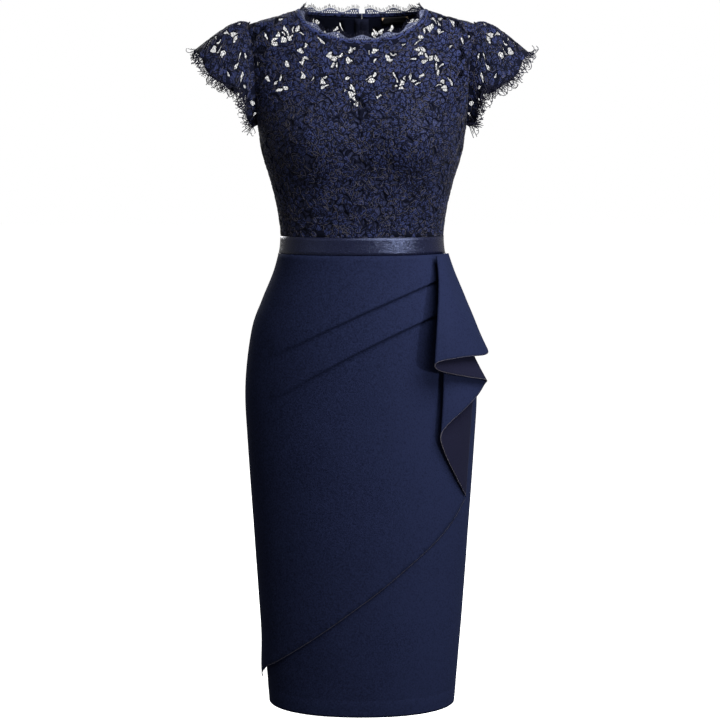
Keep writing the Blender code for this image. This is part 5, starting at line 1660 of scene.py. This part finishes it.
# %% Sewing a panel of lace
def sew_lace(name, outline, place, petals, gaps, nodes, rests_on, seed, trims=(), flip=False, cell=LACE_CELL):
    """The ground, petals, cords and net of one panel. place takes (u, z, out)."""
    base = lambda u, z: place(u, z, 0.0)
    ground = cut_cloth(name, outline, base, GROUND_WALL, cell, [GROUND], holes=gaps, edge_step=0.006, flip=flip)
    raised = sew_petals(name + "_petals", petals, place, PETAL, seed, flip)
    cords = lay_cords(name + "_cords", petals, place, CORD, seed)
    net = tie_net(name + "_net", gaps, place, NET)
    wear(ground, nodes)
    for piece in (raised, cords, net):
        wear(piece, [])
    return ground


def lace_on(half):
    return lambda u, z, out: FIGURE.at(u, z, half, LACE_OUT + out)


front_outline = whole(lace_half(FRONT))
front_cells = draw_cells(lace_seeds(front_outline, FRONT_DRAWS[0], sweetheart), FRONT_DRAWS[1])
nodes = ["bodice_lace_front", "yoke_lace_front"]
fitted = fit_cells(front_cells, front_outline)
sew_lace("lace_front", front_outline, lace_on(FRONT), *fitted, nodes, ["wearer"], FRONT_DRAWS[2], sew_neck())
back_outlines = split_at_back([(SEAM / 2, RIBBON_TOP + SEAM)] + lace_half(BACK))
for side, word in ((LEFT, "left"), (RIGHT, "right")):
    outline = back_outlines[side]
    fitted = fit_cells(back_cells(front_cells, outline), outline)
    nodes = [f"bodice_lace_back_{word}", f"yoke_lace_back_{word}"]
    sew_lace(f"lace_back_{word}", outline, lace_on(BACK), *fitted, nodes, ["wearer"], BACK_DRAWS[2])

# %% [markdown]
# ## Cap sleeves
#
# Each sleeve is a strip of the same lace set into the armhole, widest over the shoulder and narrow
# under the arm. It springs from the armhole in a direction that changes along it, as a table says,
# and its free edge is scalloped. Long loose warp threads, the eyelashes, are left along that edge.

# %% Where the sleeves lie
SLEEVE = (
    # station, share of the loop, length, outward, forward, upward
    ("underarm", 0.070, 0.0090, 0.86, 0.40, -0.30),
    ("low", 0.120, 0.0125, 0.84, 0.48, -0.22),
    ("low_side", 0.170, 0.0180, 0.76, 0.48, -0.43),
    ("side", 0.210, 0.0230, 0.66, 0.46, -0.60),
    ("corner", 0.245, 0.0290, 0.58, 0.48, -0.66),
    ("front_corner", 0.280, 0.0422, 0.56, 0.45, -0.70),
    ("middle", 0.320, 0.0626, 0.64, 0.38, -0.67),
    ("high", 0.370, 0.0754, 0.73, 0.30, -0.61),
    ("upper_arm", 0.430, 0.0800, 0.82, 0.17, -0.55),
    ("shoulder", 0.500, 0.0843, 0.90, 0.00, -0.43),
)
SLEEVE_START = 0.0185  # the sleeve is open this far on each side of the underarm point
SLEEVE_PUFF = 0.009
SLEEVE_DROOP = {LEFT: 0.004, RIGHT: 0.0}
SLEEVE_ROOT = 0.0044
SLEEVE_SCALLOP_RISE = 0.0045
SLEEVE_SEEDS = 0.0088
SLEEVE_OPEN = 0.30
SLEEVE_WHOLE = 0.35  # how many of its gaps take a whole cell
SLEEVE_ALLOWANCE = 0.0035
SLEEVE_LASH_PITCH = 0.0016
SLEEVE_LASHES = {"Length": 0.0118, "Curl": 1.8, "Radius": 0.00052, "Lean": 0.6, "Spin": 3.1}


def armhole_loop(side, count=97):
    """The armhole in space, from the underarm up the front, over the shoulder and down the back."""
    points = []
    for share in np.linspace(0.0, 1.0, count):
        half = FRONT if share <= 0.5 else BACK
        z = UNDERARM + (SHOULDER_TIP - UNDERARM) * math.sin(math.pi * share) ** 2
        reach = ARMHOLE_REACH[half] * abs(math.sin(math.tau * share))
        u = float(FIGURE.to_side(z, half)) - reach
        points.append(FIGURE.at(u * side * (1 if half == FRONT else -1), z, half, SLEEVE_ROOT))
    return np.array(points)


ARM_LOOP = {side: armhole_loop(side) for side in (LEFT, RIGHT)}
ARM_WALK = np.concatenate([[0.0], np.cumsum(np.linalg.norm(np.diff(ARM_LOOP[LEFT], axis=0), axis=1))])
ARM_LENGTH = float(ARM_WALK[-1])
SLEEVE_ROWS = through([row[1:] for row in SLEEVE], 8)


def sleeve_row(w):
    """(length, outward, forward, upward) of the sleeve at w along the armhole."""
    share = np.interp(w, ARM_WALK, np.linspace(0.0, 1.0, len(ARM_WALK)))
    folded = np.where(share <= 0.5, share, 1 - share)
    length, outward, forward, upward = (np.interp(folded, SLEEVE_ROWS[:, 0], column) for column in SLEEVE_ROWS.T[1:])
    return length, outward, np.where(share <= 0.5, forward, -forward), upward


def sleeve_plane(side, w, v):
    root = np.stack([np.interp(w, ARM_WALK, ARM_LOOP[side][:, i]) for i in range(3)], axis=-1)
    length, outward, forward, upward = sleeve_row(w)
    way = np.stack([side * outward, -forward, upward], axis=-1)
    way /= np.linalg.norm(way, axis=-1, keepdims=True)
    share = np.clip(v / length, 0, 1)
    puff = SLEEVE_PUFF * (length / SLEEVE[-1][2]) * np.sin(np.pi * share**0.6)
    lifted = root + way * v[..., None]
    lifted[..., 2] += puff - SLEEVE_DROOP[side] * share * length / SLEEVE[-1][2]
    lifted[..., 0] += side * 0.3 * puff
    return lifted


def place_sleeve(side):
    """Placing function of a sleeve: w along the armhole, v out from it, and a distance outwards."""

    def place(w, v, out):
        w, v = np.asarray(w, float), np.asarray(v, float)
        along = sleeve_plane(side, w + 0.002, v) - sleeve_plane(side, w - 0.002, v)
        down = sleeve_plane(side, w, v + 0.001) - sleeve_plane(side, w, v - 0.001)
        normal = np.cross(along, down) * -side
        normal /= np.linalg.norm(normal, axis=-1, keepdims=True)
        return sleeve_plane(side, w, v) + normal * np.asarray(out)[..., None]

    return place


def sleeve_edge(w):
    """Distance from the armhole to the sleeve's scalloped edge."""
    return float(sleeve_row(w)[0]) - SLEEVE_SCALLOP_RISE / 2 + scallop(w - ARM_LENGTH / 2, SLEEVE_SCALLOP_RISE)


# %% Sewing the sleeves
def sleeve_sight(w, v):
    """The way from the camera to a point of the right sleeve, as two slopes."""
    away = sleeve_plane(RIGHT, w, v) - np.array(CAMERA_PLACE)
    return away[..., [0, 2]] / away[..., 1:2]


def sleeve_behind(points, step=0.0005):
    """Where lines of sight through the sleeve's front meet its back, as (w, v), and which of them do."""
    aim = sleeve_sight(*points.T)
    w, v = ARM_LENGTH - points[:, 0], points[:, 1].copy()
    for _ in range(16):
        miss = aim - sleeve_sight(w, v)
        dw, dv = (sleeve_sight(w + step, v) + miss - aim) / step, (sleeve_sight(w, v + step) + miss - aim) / step
        det = dw[:, 0] * dv[:, 1] - dw[:, 1] * dv[:, 0]
        det = np.where(np.abs(det) < 1e-3, 1e-3, det)
        w = w + np.clip((miss[:, 0] * dv[:, 1] - miss[:, 1] * dv[:, 0]) / det, -0.006, 0.006)
        v = v + np.clip((dw[:, 0] * miss[:, 1] - dw[:, 1] * miss[:, 0]) / det, -0.006, 0.006)
    return np.stack([w, v], axis=1), np.abs(miss).max(axis=1) < 0.0002


def sleeve_cells(outline):
    """Small cells with no flowers, a share of them open. Gaps in front are carried to the back."""
    rng = np.random.default_rng(SLEEVE_DRAWS[0])
    low, high = np.min(outline, axis=0) - 0.02, np.max(outline, axis=0) + 0.02
    seeds = []
    for j, v in enumerate(np.arange(low[1], high[1], SLEEVE_SEEDS)):
        for w in np.arange(low[0], high[0], SLEEVE_SEEDS):
            place = np.array([w + 0.5 * SLEEVE_SEEDS * (j % 2), v]) + rng.uniform(-0.0024, 0.0024, 2)
            angle = rng.uniform(0.6, 2.4)
            kind = (rng.random() < SLEEVE_OPEN) * (1 + (rng.random() < SLEEVE_WHOLE))
            seeds.append((*place, angle, kind))
    cells = draw_cells(np.array(seeds), SLEEVE_DRAWS[1])
    front = [cell for cell in cells if cell[0][:, 0].max() < ARM_LENGTH / 2]
    carried = []
    for loop, angle, kind in front:
        places, met = sleeve_behind(loop)
        if met.all() and np.ptp(places, axis=0).max() < 0.03 and places[:, 0].min() > ARM_LENGTH / 2:
            carried.append((places[::-1], math.pi - angle, kind))
    middles = np.array([loop.mean(axis=0) for loop, _, _ in carried])
    back = [cell for cell in cells if cell[0][:, 0].max() >= ARM_LENGTH / 2]
    print("sleeve cells:", len(front), "in front,", len(carried), "carried behind")
    return front + carried + [c for c in back if np.linalg.norm(middles - c[0].mean(axis=0), axis=1).min() > 0.0075]


def sew_sleeves():
    run = [float(w) for w in np.linspace(SLEEVE_START, ARM_LENGTH - SLEEVE_START, 110)]
    edge = [(w, sleeve_edge(w)) for w in run]
    outline = [(w, -SLEEVE_ALLOWANCE) for w in run] + edge[::-1]
    fitted = fit_cells(sleeve_cells(outline), outline, 0.0016)
    for side, word in ((LEFT, "left"), (RIGHT, "right")):
        place = place_sleeve(side)
        nodes = [f"sleeve_{word}", f"sleeve_trim_{word}"]
        name = f"cap_sleeve_{word}"
        lashes = stand_lashes(name + "_lashes", place, edge, SLEEVE_LASH_PITCH, 0.25, SLEEVE_LASHES)
        sew_lace(name, outline, place, *fitted, nodes, ["lace_front"], SLEEVE_DRAWS[2], [lashes], side == LEFT, (0.006, 0.006))


sew_sleeves()

# %% [markdown]
# ## Zip and label
#
# A concealed zip closes the back from the neck to the hips. Its tape is woven, and knitted as an open
# net where the bodice is sheer, so that it shows less there. The coil is a row of small bars on the
# inside. The slider and its pull are the CAD model's own solids, given a painted metal finish. A
# small plain label is sewn inside the left back with two tacks of pale thread.

# %% Zip tape and coil
ZIP_TOP = -0.0065
ZIP_FOOT = -0.500
ZIP_TAPE_WIDTH = 0.010
ZIP_TAPE_WALL = 0.0010
ZIP_TAPE_DEPTH = 0.0021
ZIP_NET = (-0.150, -0.052)
ZIP_HOLE = (0.0027, 0.0030)
ZIP_HOLE_PITCH = (0.0034, 0.0037)
COIL_PITCH = 0.0016
COIL_HALF = 0.0017

TAPE = grained_cloth("zip_tape_weave", ((0.0024, 0.0028, 0.0070), (0.0050, 0.0060, 0.0135)), 1400.0, 0.0002, MATT)


def place_tape(u, z, inwards=0.0):
    sheer = np.clip((z - BACK_LINING_TOP + 0.004) / 0.030, 0, 1)
    return FIGURE.at(u, z, BACK, -ZIP_TAPE_DEPTH + sheer * LACE_OUT - inwards)


def sew_zip():
    edge = [(ZIP_TAPE_WIDTH, float(z)) for z in np.linspace(ZIP_FOOT, ZIP_TOP, 80)]
    outline = edge + [(-u, z) for u, z in reversed(edge)]
    holes = []
    for z in np.arange(*ZIP_NET, ZIP_HOLE_PITCH[1]):
        for u in (0.0038, 0.0038 + ZIP_HOLE_PITCH[0]):
            a, b = ZIP_HOLE[0] / 2, ZIP_HOLE[1] / 2
            for side in (-u, u):
                holes.append([(side - a, z - b), (side + a, z - b), (side + a, z + b), (side - a, z + b)])
    tape = cut_cloth("zip_tape_cloth", outline, place_tape, ZIP_TAPE_WALL, (0.005, 0.008), [TAPE], holes=holes)
    zs = np.arange(ZIP_FOOT + 0.004, ZIP_TOP - 0.002, COIL_PITCH)
    bars = np.array([(side * COIL_HALF, z) for z in zs for side in (-1, 1)])
    places = place_tape(bars[:, 0], bars[:, 1], 0.0002)
    guide = guide_of(places, [(2 * i, 2 * i + 1) for i in range(len(zs))])
    coil = grow(THREADS, guide, "zip_coil", {"Radius": 0.00055, "Sides": 6, "Material": TAPE})
    wear(tape, ["zip_tape"])
    wear(coil, [])


sew_zip()


# %% Slider, pull and label
def painted_metal():
    """Navy enamel on metal, worn a little where it is proud."""
    material, tree, shader = new_finish("enamelled_metal", {"Metallic": 0.55, "Roughness": 0.34, "Coat Weight": 0.25})
    where = object_place(tree)
    fine = noise(tree, where, 1600.0, 3.0, 0.6)
    worn = ramp(tree, add(tree, "ShaderNodeNewGeometry").outputs["Pointiness"], 0.52, 0.60)
    enamel = mixed(tree, fine, (0.010, 0.013, 0.034), (0.020, 0.025, 0.058))
    tree.links.new(mixed(tree, worn, enamel, (0.10, 0.11, 0.15)), shader.inputs["Base Color"])
    bump(tree, shader, fine, 0.00005, 0.4)
    return material


METAL = painted_metal()
for node in ("zip_slider", "zip_pull"):
    solid = bpy.data.objects[node]
    for index in range(len(solid.material_slots)):
        solid.material_slots[index].material = METAL
    print(node, "slots:", len(solid.material_slots))

LABEL_SPAN = (0.030, 0.070)
LABEL_HEIGHT = 0.012
LABEL_WALL = 0.0010
LABEL_DEPTH = 0.0022
TACK_REACH = 0.0030


def woven_label():
    """A plain black weave: fine ribs one way, finer the other."""
    material, tree, shader = new_finish("label_weave", {**MATT, "Roughness": 0.55, "Specular IOR Level": 0.15})
    flat = cloth_place(tree)
    ribs = []
    for scale, way in ((420.0, "X"), (650.0, "Y")):
        bands = {"wave_type": "BANDS", "bands_direction": way}
        ribs.append(add(tree, "ShaderNodeTexWave", {"Scale": scale}, {"Vector": flat}, **bands).outputs["Fac"])
    both = reckon(tree, "MULTIPLY", *ribs)
    tree.links.new(mixed(tree, both, (0.0035, 0.0035, 0.0045), (0.0110, 0.0110, 0.0120)), shader.inputs["Base Color"])
    bump(tree, shader, both, 0.0001, 0.6)
    return material


def sew_label():
    start, end = NECK_LENGTH - LABEL_SPAN[1], NECK_LENGTH - LABEL_SPAN[0]

    def place(w, v, inwards=0.0):
        point, run, outward = along_neck(w)
        return point + np.cross(outward, run) * v[..., None] + outward * (LACE_OUT - LABEL_DEPTH - inwards)

    foot = [(float(w), -LABEL_HEIGHT) for w in np.linspace(start, end, 12)]
    outline = foot + [(w, -0.0012) for w, v in reversed(foot)]
    label = cut_cloth("label_cloth", outline, place, LABEL_WALL, (0.003, 0.003), [woven_label()])
    wear(label, ["label"])
    points, edges = [], []
    for corner, way in ((start, 1), (end, -1)):
        for k in range(6):
            reach = TACK_REACH * (1 - k / 6)
            edges.append((len(points), len(points) + 1))
            points += [(corner, -0.0016 - 0.0007 * k), (corner + way * reach, -0.0016 - 0.0007 * k)]
    flat = np.array(points)
    pale = yarn("tack_thread", ((0.38, 0.27, 0.16), (0.55, 0.41, 0.26)), MATT)
    guide = guide_of(place(flat[:, 0], flat[:, 1], 0.0002), edges)
    tacks = grow(THREADS, guide, "label_tacks", {"Radius": 0.0004, "Sides": 4, "Material": pale})
    wear(tacks, [])


sew_label()

# %% [markdown]
# ## Sewn edges
#
# The free edges of the wrap and of the cascade are overlocked: thread is wrapped round the cut edge,
# and shows as a fine paler line. On the wrap the thread is painted darker, as painted shade along its
# edge. The underskirt's hem is blind stitched, so only pin-sized dots show.
# All of them are one stitch repeated at an even pitch along a line, which is what the stitch tree does.
# A cord inside each seam closes the slit between two panels, as the pressed seam allowances do.

# %% Overlocked edges and hem
OVERLOCK = yarn("overlock_thread", ((0.0450, 0.0420, 0.0520), (0.1000, 0.0930, 0.1050)), MATT)
# painted shade: the wrap's overlock is the same thread painted darker, for the shade along the wrap's edge
WRAP_THREAD_SHADED = yarn("wrap_thread_shaded", ((0.0130, 0.0125, 0.0190), (0.0400, 0.0380, 0.0480)), MATT)
HEM_THREAD = yarn("hem_thread", ((0.0050, 0.0062, 0.0160), (0.0100, 0.0122, 0.0280)), MATT)
OVERLOCK_STITCH = {"Pitch": 0.0019, "Length": 0.0016, "Radius": 0.00045}
HEM_STITCH = {"Pitch": 0.0062, "Length": 0.0011, "Radius": 0.00030}


def sew_line(name, lines, inputs, material, tree=STITCHES):
    points = np.vstack(lines)
    edges, first = [], 0
    for line in lines:
        edges += chain_edges(len(line), first)
        first += len(line)
    return wear(grow(tree, guide_of(points, edges), name, {**inputs, "Material": material}), [])


def sew_edges():
    edge = np.array(wrap_edge())
    in_from_edge = np.array([0.0, 0.0012])
    flat = edge + in_from_edge
    wrapped = place_wrap(flat[:, 0], flat[:, 1])
    out = FIGURE.at(flat[:, 0], flat[:, 1], FRONT, 1.0) - FIGURE.bare(flat[:, 0], flat[:, 1], FRONT)
    sew_line("wrap_overlock", [wrapped + out * (CREPE_WALL + 0.0001)], OVERLOCK_STITCH, WRAP_THREAD_SHADED)
    lines = np.arange(len(CASCADE_LINES), dtype=float)
    fan = place_cascade(lines, np.full(len(lines), 0.996))
    side = place_cascade(np.full(60, lines[-1]), np.linspace(0.03, 0.99, 60))
    sew_line("cascade_overlock", [fan, side], {**OVERLOCK_STITCH, "Radius": 0.00085}, OVERLOCK)
    hems = []
    for half in (FRONT, BACK):
        reach = float(FIGURE.to_side(HEM + HEM_DEPTH, half)) - 0.004
        u = np.linspace(-reach, reach, 120)
        here = place_skirt(half)(u, np.full(len(u), HEM + HEM_DEPTH))
        away = FIGURE.at(u, np.full(len(u), HEM), half, 1.0) - FIGURE.bare(u, np.full(len(u), HEM), half)
        hems.append(here + away * CREPE_WALL)
    sew_line("hem_blind_stitch", hems, HEM_STITCH, HEM_THREAD)


LACE_SEAM = {"Radius": 0.0008, "Sides": 6}
SKIRT_SEAM = {"Radius": 0.0006, "Sides": 6}
LACE_SEAM_OUT = LACE_OUT + 0.0004
SKIRT_SEAM_OUT = 0.0006


def close_seams():
    """A cord of pressed cloth inside each seam: down the sides, and down the centre back under the zip."""
    spans = (RIBBON_TOP, UNDERARM, 50, LACE_SEAM_OUT), (HEM, WAIST_SEAM, 120, SKIRT_SEAM_OUT)
    lace, skirt = (
        [FIGURE.at(side * FIGURE.to_side(z, FRONT), z, FRONT, out) for side in (LEFT, RIGHT)]
        for z, out in ((np.linspace(*span[:3]), span[3]) for span in spans)
    )
    z = np.linspace(HEM, ZIP_FOOT, 80)
    skirt.append(FIGURE.at(0 * z, z, BACK, SKIRT_SEAM_OUT))
    sew_line("lace_side_seams", lace, LACE_SEAM, GROUND, THREADS)
    sew_line("skirt_seams", skirt, SKIRT_SEAM, CREPE, THREADS)


sew_edges()
close_seams()
